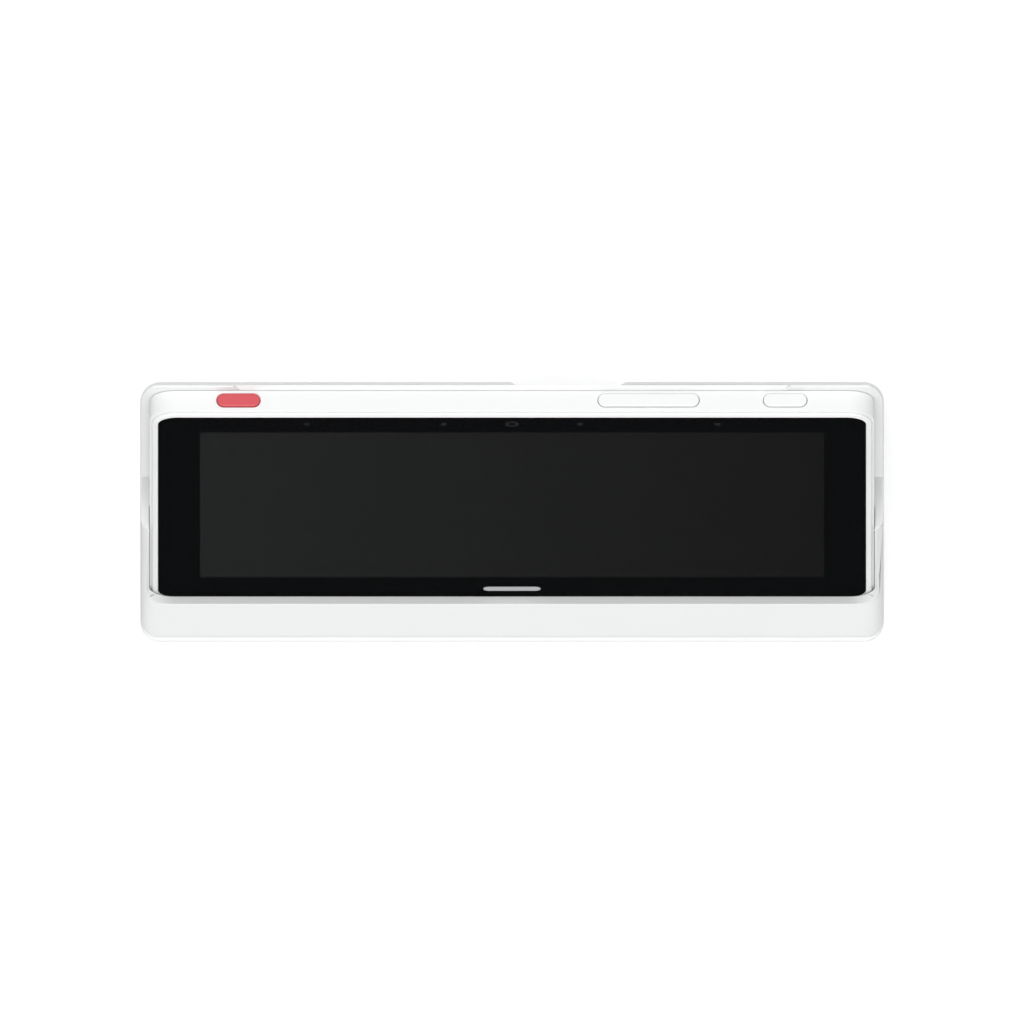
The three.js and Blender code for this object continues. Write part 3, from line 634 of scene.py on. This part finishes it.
def mouthTool():
    height = glass["height"] + 2 * far
    rings = []
    for grow, radius, bottom, z in dock["mouth"]:
        ring = roundedRing(2 * (slabHalfWidth + dock["sideGap"]) + grow, height, radius, 0,
                           bottom + height / 2, 12)
        rings.append([(p.x, p.y, z) for p in ring])
    return ringStack("mouth", rings)


def scoopTool(sign):
    # an ellipsoid turned about the axis that runs across the dock, so its rim on the side wall is even
    rings = []
    for i in range(1, 24):
        turn = math.pi * i / 24
        x, r = scoop["reachX"] * math.cos(turn), scoop["radius"] * math.sin(turn)
        rings.append([(sign * scoop["x"] + x, scoop["y"] + r * math.cos(a), scoop["z"] + r * math.sin(a))
                      for a in (2 * math.pi * k / 44 for k in range(44))])
    return ringStack("scoop", rings)


def dipTool():
    half, taper = dip["half"], dip["taper"]
    outline = [(-half + taper, 0), (half - taper, 0), (half, taper), (half, dip["reach"]),
               (-half, dip["reach"]),
               (-half, taper)]
    made = ringStack("dip", [[(x, y, z) for x, y in outline] for z in (0, dip["reach"])])
    made.data.transform(Matrix.Translation((0, slabTop - dip["below"], pocketBack))
                        @ Matrix.Rotation(-math.radians(dip["slope"]), 4, "X"))
    return made


def recessTool():
    x0, x1 = recess["x"]
    ring = roundedRing(x1 - x0, 2 * recess["top"], recess["radius"], (x0 + x1) / 2, 0, 8)
    return ringStack("recess", [[(p.x, y, p.y) for p in ring] for y in (shellHigh.y + far,
                                                                        recess["front"])])


def cavityTool():
    back = pocketBack - dock["wall"]
    rearInner = shellHigh.y - dock["wall"]
    roofY = slabPoint(0, back)[0]
    points = [(shellLow.y + dock["wall"], -far), (shellLow.y + dock["wall"], dock["lipFootZ"]),
              *dock["lipRoof"],
              slabPoint(-dock["bodyMargin"] - dock["clearance"] - dock["wall"], back),
              slabPoint((rearInner - roofY) / leanSin, back), (rearInner, -far)]
    half = shellHigh.x - dock["wall"]
    tool = sideRun("cavity", points, -half, half)
    inner = dock["cornerRadius"] - dock["wall"]
    frontY = shellLow.y + dock["wall"]
    plan = roundedRing(2 * half, rearInner - frontY, inner, 0, (rearInner + frontY) / 2, 6)
    combine(tool, ringStack("plan", [[(p.x, p.y, z) for p in plan] for z in (-far - 5, shellHigh.z)]),
            "INTERSECT")
    for sign in (-1, 1):
        reach = sorted((sign * scoop["padX"], sign * 110))
        pad = boxPiece("pad", (reach[0], scoop["y"] - scoop["padHalf"], scoop["padBack"]),
                       (reach[1], scoop["y"] + scoop["padHalf"], 0))
        pad.data.transform(slabFrame)
        combine(tool, pad)
    x0, x1 = recess["x"]
    wall = recess["wall"]
    return combine(tool, boxPiece("recessWalls", (x0 - wall, recess["front"] - wall, -far - 1),
                                  (x1 + wall, shellHigh.y + 1, recess["top"] + wall)))


def shellRounding(edge):
    # crisp at the lip and the mouth, crisper still along the thin arms, softer on the outside
    middle = (edge.verts[0].co + edge.verts[1].co) / 2
    if (slabFrame.inverted() @ middle).z > 0.1 and slabHalfWidth < abs(middle.x) < slabHalfWidth + 2.6:
        return dock["armRound"] / dock["outerRound"]
    if (middle.z > 12 and middle.y < -18) or middle.z < shellLow.z + 0.2:
        return dock["lipRound"] / dock["outerRound"]
    return 1.0


def buildDockShell():
    shell = buildDockBlock()
    for tool in (pocketTool(), mouthTool(), scoopTool(-1), scoopTool(1)):
        tool.data.transform(slabFrame)
        combine(shell, tool)
    roundEdges(shell, dock["outerRound"], segments=4, weigh=shellRounding)
    cutDip = dipTool()
    cutDip.data.transform(slabFrame)
    for tool in (cutDip, recessTool(), cavityTool()):
        combine(shell, tool)
    for x, y in dock["bosses"]:
        outer, inside = dock["bossRadius"], dock["screwHole"]
        post = turned("boss", [(outer, shellLow.z + 0.2), (outer, dock["bossTop"])], (x, y), 28)
        combine(shell, post, "UNION")
        combine(shell, turned("hole", [(inside, 0), (inside, dock["screwHoleTop"])], (x, y), 20))
    middleX = sum(recess["x"]) / 2
    halfWide, halfTall = socket["width"] / 2 + dock["seam"], socket["height"] / 2 + dock["seam"]
    ring = roundedRing(2 * halfWide, 2 * halfTall, socket["corner"], middleX, socket["z"], 5)
    combine(shell, ringStack("socketSlot", [[(p.x, y, p.y) for p in ring]
                                            for y in (recess["front"] + 1,
                                                      recess["front"] - recess["wall"] - 1)]))
    slot = edgeStack("contactSlot", contacts["blockWidth"] + contacts["blockGap"],
                     contacts["blockDepth"] + contacts["blockGap"], 0, contacts["z"],
                     [(0, -dock["bodyMargin"] - 8), (0, -dock["bodyMargin"] + 1)])
    slot.data.transform(slabFrame)
    return combine(shell, slot)


dockShell = finishPiece(buildDockShell(), "dock_shell_skin", "dock", "dock_white", ["dock_shell"],
                        inSlab=False, smooth=math.radians(dock["smooth"]))
# the coated glass shows no mirror image of the white lip
dockShell.visible_glossy = False
print("dock shell made")

# ---- dock base, feet and screws ----
base = {"cornerRadius": 5.5, "edgeRound": 0.75, "footRound": 0.4, "boardZ": 5.0, "postRadius": 1.8,
        "posts": ((-20, -6), (36, -6), (-20, 12), (36, 12))}
foot = {"length": 24.0, "width": 9.0, "sink": 0.6, "round": 0.5, "ribs": 11, "ribPitch": 1.7,
        "ribHeight": 0.3, "ribWidth": 0.9, "ribMargin": 2.4, "places": ((-82, -25), (82, 25))}
screw = {"headRadius": 2.3, "headBottom": 0.9, "headTop": 1.6, "shank": 1.1, "root": 0.82, "tip": 10.5,
         "pitch": 0.8, "crossLength": 2.6, "crossWidth": 0.6, "crossDepth": 0.5}


def buildDockBase():
    low, high = boxMm("dock_base")
    flangeTop = shellLow.z - dock["seam"]
    width, depth = high.x - low.x, high.y - low.y
    profile = fillet(0, low.z, base["footRound"], False, up=-1)
    profile += fillet(0, flangeTop, base["edgeRound"], True, 5)
    made = outlineStack("dockBase", (width, depth), base["cornerRadius"], profile, steps=12)
    x0, x1 = recess["x"]
    reach = high.y - recess["front"]
    ring = roundedRing(x1 - x0, 2 * reach, recess["radius"], (x0 + x1) / 2, high.y, 8)
    combine(made, ringStack("notch", [[(p.x, p.y, z) for p in ring] for z in (-1, 5)]))
    # the notch's outer corners are rounded as well
    r = recess["radius"]
    for x, sign in ((x0, -1), (x1, 1)):
        corner = boxPiece("corner", (min(x, x + sign * r), high.y - r, 0),
                          (max(x, x + sign * r), high.y + 1, 5))
        combine(corner, turned("round", [(r, -1), (r, 6)], (x + sign * r, high.y - r), 40))
        combine(made, corner)
    for sx in (-1, 1):
        for sy in (-1, 1):
            place = (sx * foot["places"][1][0], sy * foot["places"][1][1])
            size = (foot["length"] + 0.6, foot["width"] + 0.6)
            combine(made, outlineStack("seat", size, size[1] / 2 - 0.01,
                                       [(0, 0), (0, low.z + foot["sink"] + 0.3)], place))
    for x, y in dock["bosses"]:
        combine(made, turned("hole", [(dock["screwHole"], 0), (dock["screwHole"], 5)], (x, y), 20))
        combine(made, turned("seat", [(screw["headRadius"] + 0.3, 0),
                                      (screw["headRadius"] + 0.3, screw["headTop"] + 0.3)],
                             (x, y), 28))
    for place in base["posts"]:
        combine(made, turned("post", [(base["postRadius"], flangeTop - 0.5),
                                      (base["postRadius"], base["boardZ"] - 0.3)],
                             place, 20), "UNION")
    return roundEdges(made, 0.15)


finishPiece(buildDockBase(), "dock_base_skin", "dock", "dock_white", ["dock_base"], inSlab=False)


def buildFoot():
    # a moulded pad whose lower face carries raised ribs across it
    length, width, high = foot["length"], foot["width"], boxMm("foot_pad_1")[1].z
    profile = fillet(0, foot["ribHeight"], foot["round"], False, up=-1) + [(0, high - 0.1), (0.1, high)]
    body = outlineStack("foot", (length, width), width / 2 - 0.01, profile)
    rib = outlineStack("rib", (foot["ribWidth"], width - foot["ribMargin"]), foot["ribWidth"] / 2 - 0.01,
                       [(0.22, 0), (0.05, 0.12), (0, foot["ribHeight"] + 0.2)], steps=3)
    first = -(foot["ribs"] - 1) / 2 * foot["ribPitch"]
    ribs = repeated("ribs", rib, (first, 0, 0), (foot["ribPitch"], 0, 0), foot["ribs"], "rubber_foot")
    return joined(body, ribs)


def buildScrew():
    # pan head with a cross recess, and a thread of even rings
    r = screw["headRadius"]
    low, root = screw["headBottom"], screw["root"]
    head = turned("head", [(r * 0.55, low), (r * 0.86, low + 0.12), (r, low + 0.42),
                           (r, screw["headTop"])], (0, 0), 32)
    long, thin = screw["crossLength"], screw["crossWidth"]
    for across, along in ((long, thin), (thin, long)):
        combine(head, boxPiece("cross", (-across / 2, -along / 2, 0),
                               (across / 2, along / 2, low + screw["crossDepth"])))
    turns = int((screw["tip"] - 1.4 - screw["headTop"]) / screw["pitch"])
    profile = [(0.85, screw["headTop"] - 0.05)]
    for i in range(turns):
        z = screw["headTop"] + 0.3 + i * screw["pitch"]
        profile += [(root, z), (screw["shank"], z + screw["pitch"] * 0.4), (root, z + screw["pitch"] * 0.8)]
    return joined(head, turned("thread", profile + [(0.25, screw["tip"])], (0, 0), 16))


feetStart, feetEnd = foot["places"]
feet = repeated("feet", buildFoot(), (*feetStart, 0), (feetEnd[0] - feetStart[0], 0, 0), 2, "rubber_foot",
                (0, feetEnd[1] - feetStart[1], 0), 2)
finishPiece(feet, "foot_pads", "dock", "rubber_foot", [f"foot_pad_{i}" for i in range(1, 5)], inSlab=False)
bossX, bossY = dock["bosses"][0]
screws = repeated("screws", buildScrew(), (bossX, bossY, 0), (-2 * bossX, 0, 0), 2, "steel",
                  (0, dock["bosses"][3][1] - bossY, 0), 2)
finishPiece(screws, "base_screws", "dock", "steel", [f"base_screw_{i}" for i in range(1, 5)], inSlab=False)
print("base, feet and screws made")

# ---- charging contacts and power socket ----
firstContact = (-(contacts["count"] - 1) / 2 * contacts["pitch"], 0, contacts["z"])
blockTop = -dock["bodyMargin"] - dock["clearance"] - contacts["blockDrop"]


def buildContactBlock():
    block = edgeStack("block", contacts["blockWidth"], contacts["blockDepth"], 0, contacts["z"],
                      [(0, blockTop - contacts["blockHeight"]), (0, blockTop - 0.25),
                       (0.07, blockTop - 0.07), (0.25, blockTop)])
    boreRadius = contacts["radius"] + contacts["boreSpare"]
    bore = alongEdge(turned("bore", [(boreRadius, -9), (boreRadius, 0)], (0, 0), 20))
    bores = repeated("bores", bore, firstContact, (contacts["pitch"], 0, 0), contacts["count"],
                     "black_plastic")
    return combine(block, bores)


def buildPin():
    r = contacts["radius"]
    # (share of the radius, height above the block), rising to a domed tip
    profile = [(r * share, blockTop + rise) for share, rise in (
        (1, -2.6), (1, 0.2), (0.97, 0.38), (0.8, 0.6), (0.5, 0.74), (0.12, 0.79))]
    return alongEdge(turned("pin", profile, (0, 0), 24))


def buildChargePad():
    r, low = contacts["padRadius"], -dock["bodyMargin"]
    profile = [(r * 0.2, low + 0.05), (r * 0.7, low), (r - 0.06, low + 0.03), (r, low + 0.12),
               (r, low + 1.2)]
    return alongEdge(turned("chargePad", profile, (0, 0), 24))


def buildPadHolder():
    low, boreRadius = -dock["bodyMargin"], contacts["holderBore"]
    holder = edgeStack("holder", contacts["holderWidth"], contacts["holderDepth"], 0, contacts["z"],
                       [(0.1, low + 0.3), (0, low + 0.4), (0, low + 3.2)])
    bore = alongEdge(turned("bore", [(boreRadius, low - 1), (boreRadius, low + 1.5)], (0, 0), 24))
    return combine(holder, repeated("bores", bore, firstContact, (contacts["pitch"], 0, 0),
                                    contacts["count"], "black_plastic"))


def buildSocket():
    middleX, front = sum(recess["x"]) / 2, recess["front"] - socket["inset"]
    back = front - socket["length"]

    def shellRing(inset, y):
        ring = roundedRing(socket["width"] - 2 * inset, socket["height"] - 2 * inset,
                           socket["corner"] - inset, middleX, socket["z"], 6)
        return [(p.x, y, p.y) for p in ring]

    sheet, half, rise = socket["sheet"], socket["tongueHalf"], socket["tongueRise"]
    can = ringStack("socket", [shellRing(0, back), shellRing(0, front - 0.1), shellRing(0.1, front),
                               shellRing(sheet - 0.1, front), shellRing(sheet, front - 0.15),
                               shellRing(sheet, back + 1.2)])
    tongue = boxPiece("tongue", (middleX - half, back + 0.8, socket["z"] - rise),
                      (middleX + half, front - 0.9, socket["z"] + rise))
    return combine(can, roundEdges(tongue, 0.12, 2), "UNION")


finishPiece(buildContactBlock(), "contact_block_skin", "dock", "black_plastic", ["contact_block"])
pins = repeated("pins", buildPin(), firstContact, (contacts["pitch"], 0, 0), contacts["count"],
                "contact_gold")
finishPiece(pins, "contact_pins_set", "contact_pins", "contact_gold",
            [f"contact_pin_{i}" for i in range(1, 5)])
pads = repeated("pads", buildChargePad(), firstContact, (contacts["pitch"], 0, 0), contacts["count"],
                "contact_gold")
finishPiece(pads, "charge_pads", "display", "contact_gold", [f"charge_pad_{i}" for i in range(1, 5)])
finishPiece(buildPadHolder(), "pad_holder_skin", "display", "black_plastic", ["pad_holder"])
finishPiece(buildSocket(), "power_socket_skin", "dock", "steel", ["power_socket"], inSlab=False)
print("contacts and socket made")

# ---- display unit: casing, lip and glass ----
casing = {
    "radius": 7.2, "rearRound": 0.4, "rimZ": -0.88, "rimRound": 0.18, "wall": 1.2, "floorZ": -6.05,
    "slotWidth": 1.0, "slotLength": 2.8, "slotPitch": 4.6, "slotCount": 6, "slotStart": 90.4, "slotZ": -4.1,
    "windowWidth": 17.6, "windowDepth": 3.4, "windowEase": 0.15, "keyholeEase": 0.12, "keyholeDepth": 1.6,
}
key = {"z": -4.2, "width": 3.75, "proud": 0.6, "crownRound": 0.32, "gap": 0.2, "flangeTop": -0.5,
       "flangeThick": 0.6, "flangeHalf": 1.6, "flangeRound": 0.15, "plungerRound": 0.12}
keys = {
    "alarm_button": {"x": -75.5, "length": 11.8, "plungers": (0,), "slot": "red_key"},
    "volume_rocker": {"x": 37.7, "length": 27.8, "plungers": (-9, 9), "slot": "white_key"},
    "power_button": {"x": 75.4, "length": 11.9, "plungers": (0,), "slot": "white_key"},
}
slabSize = (2 * slabHalfWidth, glass["height"] + 2 * dock["bodyMargin"])
slabMiddle = (0, glass["height"] / 2)
wallInnerY = slabTop - casing["wall"]


def buildRearCover():
    wall = casing["wall"]
    profile = fillet(0, -dock["slabThickness"], casing["rearRound"], False, 5, up=-1)
    profile += fillet(0, casing["rimZ"], casing["rimRound"], True, 3)
    floorZ = casing["floorZ"]
    profile += [(wall, casing["rimZ"]), (wall, floorZ + 0.5), (wall + 0.15, floorZ + 0.15),
                (wall + 0.5, floorZ)]
    cover = outlineStack("rearCover", slabSize, casing["radius"], profile, slabMiddle, 14)
    for each in keys.values():
        size = (each["length"] + 2 * key["gap"], key["width"] + 2 * key["gap"])
        ease = casing["keyholeEase"]
        combine(cover, edgeStack("keyhole", *size, each["x"], key["z"],
                                 [(0, wallInnerY - casing["keyholeDepth"]), (0, slabTop - ease),
                                  (-ease, slabTop), (-ease, slabTop + 2)]))
    low, ease = -dock["bodyMargin"], casing["windowEase"]
    combine(cover, edgeStack("contactWindow", casing["windowWidth"], casing["windowDepth"], 0,
                             contacts["z"],
                             [(-ease, low - 1), (-ease, low), (0, low + ease), (0, low + wall + 1)]))
    ring = roundedRing(casing["slotLength"], casing["slotWidth"], casing["slotWidth"] / 2 - 0.01, 0, 0, 4)
    slot = ringStack("soundSlot", [[(x, p.x, p.y) for p in ring] for x in (-2, 2)])
    slots = repeated("soundSlots", slot, (-slabHalfWidth, casing["slotStart"], casing["slotZ"]),
                     (0, casing["slotPitch"], 0), casing["slotCount"], "casing_white",
                     (2 * slabHalfWidth, 0, 0), 2)
    return combine(cover, slots)


frontLip = {"outer": 1.62, "ridge": 0.05, "innerGap": 0.05, "drop": 0.05, "grooveTop": -0.55,
            "grooveFloor": 1.25, "shelfTop": -0.95, "shelfBottom": -1.85, "shelf": 2.2}


def buildFrontFrame():
    # a closed ring: highest beside the glass, falling a little outwards, with a fine groove under its edge
    outer = frontLip["outer"]
    size = (glass["width"] + 2 * outer, glass["height"] + 2 * outer)
    inner = outer - frontLip["innerGap"]
    neck = outer - (dock["bodyMargin"] - casing["wall"] - 0.1)
    ridge, groove, shelf = frontLip["ridge"], outer - frontLip["grooveFloor"], outer + frontLip["shelf"]
    profile = [
        (inner, -0.9), (inner, -0.06), (inner - 0.03, ridge - 0.03), (inner - 0.08, ridge),
        (inner - 0.2, ridge - 0.01), (inner - 0.32, 0.0), (0.4, -frontLip["drop"]), (0.22, -0.09),
        (0.09, -0.17), (0.02, -0.3), (0, -0.42), (0, frontLip["grooveTop"]),
        (groove, frontLip["grooveTop"] - 0.05), (groove, casing["rimZ"] - 0.02),
        (neck, casing["rimZ"] - 0.06), (neck, frontLip["shelfBottom"]),
        (shelf, frontLip["shelfBottom"]), (shelf, frontLip["shelfTop"]),
    ]
    return outlineStack("frontFrame", size, glass["cornerRadius"] + outer, profile, slabMiddle, 14,
                        closed=True)


def buildGlass():
    t, r = glass["thickness"], glass["edgeRound"]
    profile = [(0.1, -t), (0, -t + 0.1)] + fillet(0, 0, r, True, 4)
    return outlineStack("coverGlass", (glass["width"], glass["height"]), glass["cornerRadius"], profile,
                        slabMiddle, 16)


def buildKey(name):
    each = keys[name]
    crown, bottom = slabTop + key["proud"], wallInnerY + key["flangeTop"] - key["flangeThick"]
    made = edgeStack(name, each["length"], key["width"], each["x"], key["z"],
                     [(0, bottom)] + [(i, y) for i, y in fillet(0, crown, key["crownRound"], True, 4)])
    half, deep = each["length"] / 2 + 1, key["flangeHalf"]
    flange = boxPiece("flange", (each["x"] - half, bottom, key["z"] - deep),
                      (each["x"] + half, bottom + key["flangeThick"], key["z"] + deep))
    combine(made, roundEdges(flange, key["flangeRound"], 2), "UNION")
    for offset in each["plungers"]:
        x = each["x"] + offset
        plunger = boxPiece("plunger", (x - 1, bottom - 0.5, key["z"] - 0.8),
                           (x + 1, bottom + 0.3, key["z"] + 0.8))
        combine(made, roundEdges(plunger, key["plungerRound"], 2), "UNION")
    return made


finishPiece(buildRearCover(), "rear_cover_skin", "display", "casing_white", ["rear_cover"])
finishPiece(buildFrontFrame(), "front_frame_skin", "display", "lip_white", ["front_frame"])
finishPiece(buildGlass(), "cover_glass_skin", "display", "cover_glass", ["cover_glass"])
for name, each in keys.items():
    finishPiece(buildKey(name), name + "_key", name, each["slot"], [name])
print("display unit made")

# ---- inner pieces ----
inner = {
    "boardSeed": 7, "chipSpacing": 5.4, "boardMargin": 3, "canHoles": 6, "canPitch": 4.4,
    "canHoleRadius": 0.75,
    "coneLength": 18, "coneDrop": 5, "portRadius": 0.35,
}


def slabBox(node):
    # a block that leans with the display, worked back from its upright box
    low, high = boxMm(node)
    centre = slabFrame.inverted() @ ((low + high) / 2)
    span = leanCos ** 2 - leanSin ** 2
    deep = ((high.y - low.y) * leanCos - (high.z - low.z) * leanSin) / span
    tall = ((high.z - low.z) * leanCos - (high.y - low.y) * leanSin) / span
    size = Vector((high.x - low.x, tall, deep))
    return centre, size


def softBlock(node, corner, edge):
    centre, size = slabBox(node)
    low, high = centre.z - size.z / 2, centre.z + size.z / 2
    profile = fillet(0, low, edge, False, 3, up=-1) + fillet(0, high, edge, True, 3)
    return outlineStack(node, (size.x, size.y), corner, profile, (centre.x, centre.y), 6)


def scatterTree():
    # chips and passives: seeded points on a face, each a small bevelled body of its own size
    tree = bpy.data.node_groups.new("scatterParts", "GeometryNodeTree")
    for label, kind in (("Board", "Geometry"), ("Part", "Object"), ("Spacing", "Float"), ("Seed", "Int"),
                        ("Finish", "Material")):
        tree.interface.new_socket(name=label, in_out="INPUT", socket_type="NodeSocket" + kind)
    tree.interface.new_socket(name="Parts", in_out="OUTPUT", socket_type="NodeSocketGeometry")
    given = addNode(tree, "NodeGroupInput").outputs
    points = addNode(tree, "GeometryNodeDistributePointsOnFaces",
                     {"distribute_method": "POISSON", "Density Max": 0.05},
                     {"Mesh": given["Board"], "Distance Min": given["Spacing"], "Seed": given["Seed"]})
    part = addNode(tree, "GeometryNodeObjectInfo", None, {"Object": given["Part"]})
    grow = addNode(tree, "FunctionNodeRandomValue", {"data_type": "FLOAT_VECTOR"}, {"Seed": given["Seed"]})
    grow.inputs[0].default_value = (0.25, 0.3, 0.4)
    grow.inputs[1].default_value = (1.0, 1.0, 1.0)
    placed = addNode(tree, "GeometryNodeInstanceOnPoints", None, {"Points": points.outputs["Points"],
                     "Instance": part.outputs["Geometry"], "Scale": grow.outputs[0]})
    real = addNode(tree, "GeometryNodeRealizeInstances", None, {"Geometry": placed.outputs["Instances"]})
    painted = addNode(tree, "GeometryNodeSetMaterial", None,
                      {"Geometry": real.outputs[0], "Material": given["Finish"]})
    addNode(tree, "NodeGroupOutput", None, {"Parts": painted.outputs[0]})
    return tree


scatter = scatterTree()


def boardParts(name, centre, size, top, tallest, seed):
    chip = outlineStack("chip", (4.6, 4.0), 0.3, [(0, 0), (0, tallest - 0.12), (0.12, tallest)], steps=2)
    bm = bmesh.new()
    halfX, halfY = size[0] / 2 - inner["boardMargin"], size[1] / 2 - inner["boardMargin"]
    vertices = [bm.verts.new((centre[0] + sx * halfX, centre[1] + sy * halfY, top))
                for sx, sy in ((-1, -1), (1, -1), (1, 1), (-1, 1))]
    bm.faces.new(vertices)
    made = meshObject(name, bm)
    runTree(made, scatter, {"Part": chip, "Spacing": inner["chipSpacing"], "Seed": seed,
                            "Finish": finishes["black_plastic"]})
    bpy.data.objects.remove(chip)
    return made


def buildShieldCan():
    can = softBlock("shield_can", 1.2, 0.35)
    centre, size = slabBox("shield_can")
    r = inner["canHoleRadius"]
    hole = turned("vent", [(r, -0.4), (r, 0.4)], (0, 0), 14)
    count = inner["canHoles"]
    start = centre - Vector(((count - 1) / 2 * inner["canPitch"], (count - 1) / 2 * inner["canPitch"],
                             -size.z / 2))
    vents = repeated("vents", hole, start, (inner["canPitch"], 0, 0), count, "steel",
                     (0, inner["canPitch"], 0), count)
    return combine(can, vents)


def buildSpeaker(node):
    made = softBlock(node, 1.5, 0.3)
    centre, size = slabBox(node)
    top = centre.z + size.z / 2
    ring = [(0, top + 1), (0, top - 0.1), (0.5, top - 0.5), (1.3, top - 0.35), (1.8, top - 0.6)]
    wide = size.x - 2
    return combine(made, outlineStack("cone", (wide, inner["coneLength"]), wide / 2 - 0.01, ring,
                                      (centre.x, centre.y - inner["coneDrop"])))


def buildSwitch(node):
    made = softBlock(node, 0.25, 0.12)
    centre, size = slabBox(node)
    dome = alongEdge(turned("dome", [(0.8, size.y / 2 - 0.1), (0.72, size.y / 2 + 0.02),
                                     (0.5, size.y / 2 + 0.06)], (0, 0), 20))
    dome.data.transform(Matrix.Translation(centre))
    return combine(made, dome, "UNION")


softBlocks = {
    "lcd_panel": (1.5, 0.2, "display_panel"), "chassis_plate": (4, 0.08, "aluminium"),
    "battery": (3, 0.9, "battery_foil"),
    "main_board": (1.5, 0.08, "circuit_board"), "button_board": (0.28, 0.06, "circuit_board"),
    "antenna_left": (0.6, 0.05, "contact_gold"), "antenna_right": (0.6, 0.05, "contact_gold"),
    "sensor_module": (0.5, 0.2, "black_plastic"),
}
for node, (corner, edge, slotName) in softBlocks.items():
    finishPiece(softBlock(node, corner, edge), node + "_body", "display", slotName, [node])
finishPiece(buildShieldCan(), "shield_can_body", "display", "steel", ["shield_can"])
for side in ("left", "right"):
    finishPiece(buildSpeaker("speaker_" + side), "speaker_" + side + "_body", "display", "black_plastic",
                ["speaker_" + side])
for switch in ("alarm_switch", "volume_down_switch", "volume_up_switch", "power_switch"):
    finishPiece(buildSwitch(switch), switch + "_body", "display", "black_plastic", [switch])
for i in range(1, 5):
    node = f"microphone_{i}"
    made = softBlock(node, 0.3, 0.15)
    centre, size = slabBox(node)
    r = inner["portRadius"]
    port = turned("port", [(r, -0.3), (r, 0.3)], (centre.x, centre.y), 16)
    port.data.transform(Matrix.Translation((0, 0, centre.z + size.z / 2)))
    finishPiece(combine(made, port), node + "_body", "display", "aluminium", [node])

boardCentre, boardSize = slabBox("main_board")
finishPiece(boardParts("chips", boardCentre, boardSize, boardCentre.z + boardSize.z / 2, 0.9,
                       inner["boardSeed"]),
            "main_board_parts", "display", "black_plastic", [])
dockBoardLow, dockBoardHigh = boxMm("dock_circuit_board")
dockCentre, dockSize = (dockBoardLow + dockBoardHigh) / 2, dockBoardHigh - dockBoardLow
dockBoard = outlineStack("dockBoard", (dockSize.x, dockSize.y), 2,
                         [(0.08, dockBoardLow.z), (0, dockBoardLow.z + 0.08),
                         (0, dockBoardHigh.z - 0.08), (0.08, dockBoardHigh.z)],
                         (dockCentre.x, dockCentre.y), 6)
finishPiece(dockBoard, "dock_circuit_board_body", "dock", "circuit_board", ["dock_circuit_board"],
            inSlab=False)
finishPiece(boardParts("dockChips", dockCentre, dockSize, dockBoardHigh.z, 1.1, inner["boardSeed"] + 1),
            "dock_board_parts", "dock", "black_plastic", [], inSlab=False)
for node in ("ballast_left", "ballast_right"):
    low, high = boxMm(node)
    made = outlineStack(node, (high.x - low.x, high.y - low.y), 3,
                        [(0.5, low.z), (0, low.z + 0.5), (0, high.z - 0.5),
                        (0.5, high.z)], ((low.x + high.x) / 2, (low.y + high.y) / 2), 6)
    finishPiece(made, node + "_plate", "dock", "steel", [node], inSlab=False)
print("inner pieces made")

# ---- stage ----
bm = bmesh.new()
bmesh.ops.create_grid(bm, x_segments=1, y_segments=1, size=3)
floor = meshObject("floor", bm)
floorMaterial, _, floorShader, _ = newMaterial("paleFloor")
floorShader.inputs["Base Color"].default_value = linear("#FAFAFA")
floorShader.inputs["Roughness"].default_value = 0.9
floorShader.inputs["Emission Color"].default_value = (1, 1, 1, 1)
floorShader.inputs["Emission Strength"].default_value = studio["floorGlow"]
floor.data.materials.append(floorMaterial)
# the glass doesn't mirror the floor either
floor.visible_glossy = False
floor.location.z = -0.0001
floor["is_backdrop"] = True

for node in frame["nodes"].values():
    slotName = next(s["material_slot"] for s in frame["record"]["subparts"] if s["node"] == node.name)
    node.data.materials.clear()
    node.data.materials.append(finishes[slotName])

low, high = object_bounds()
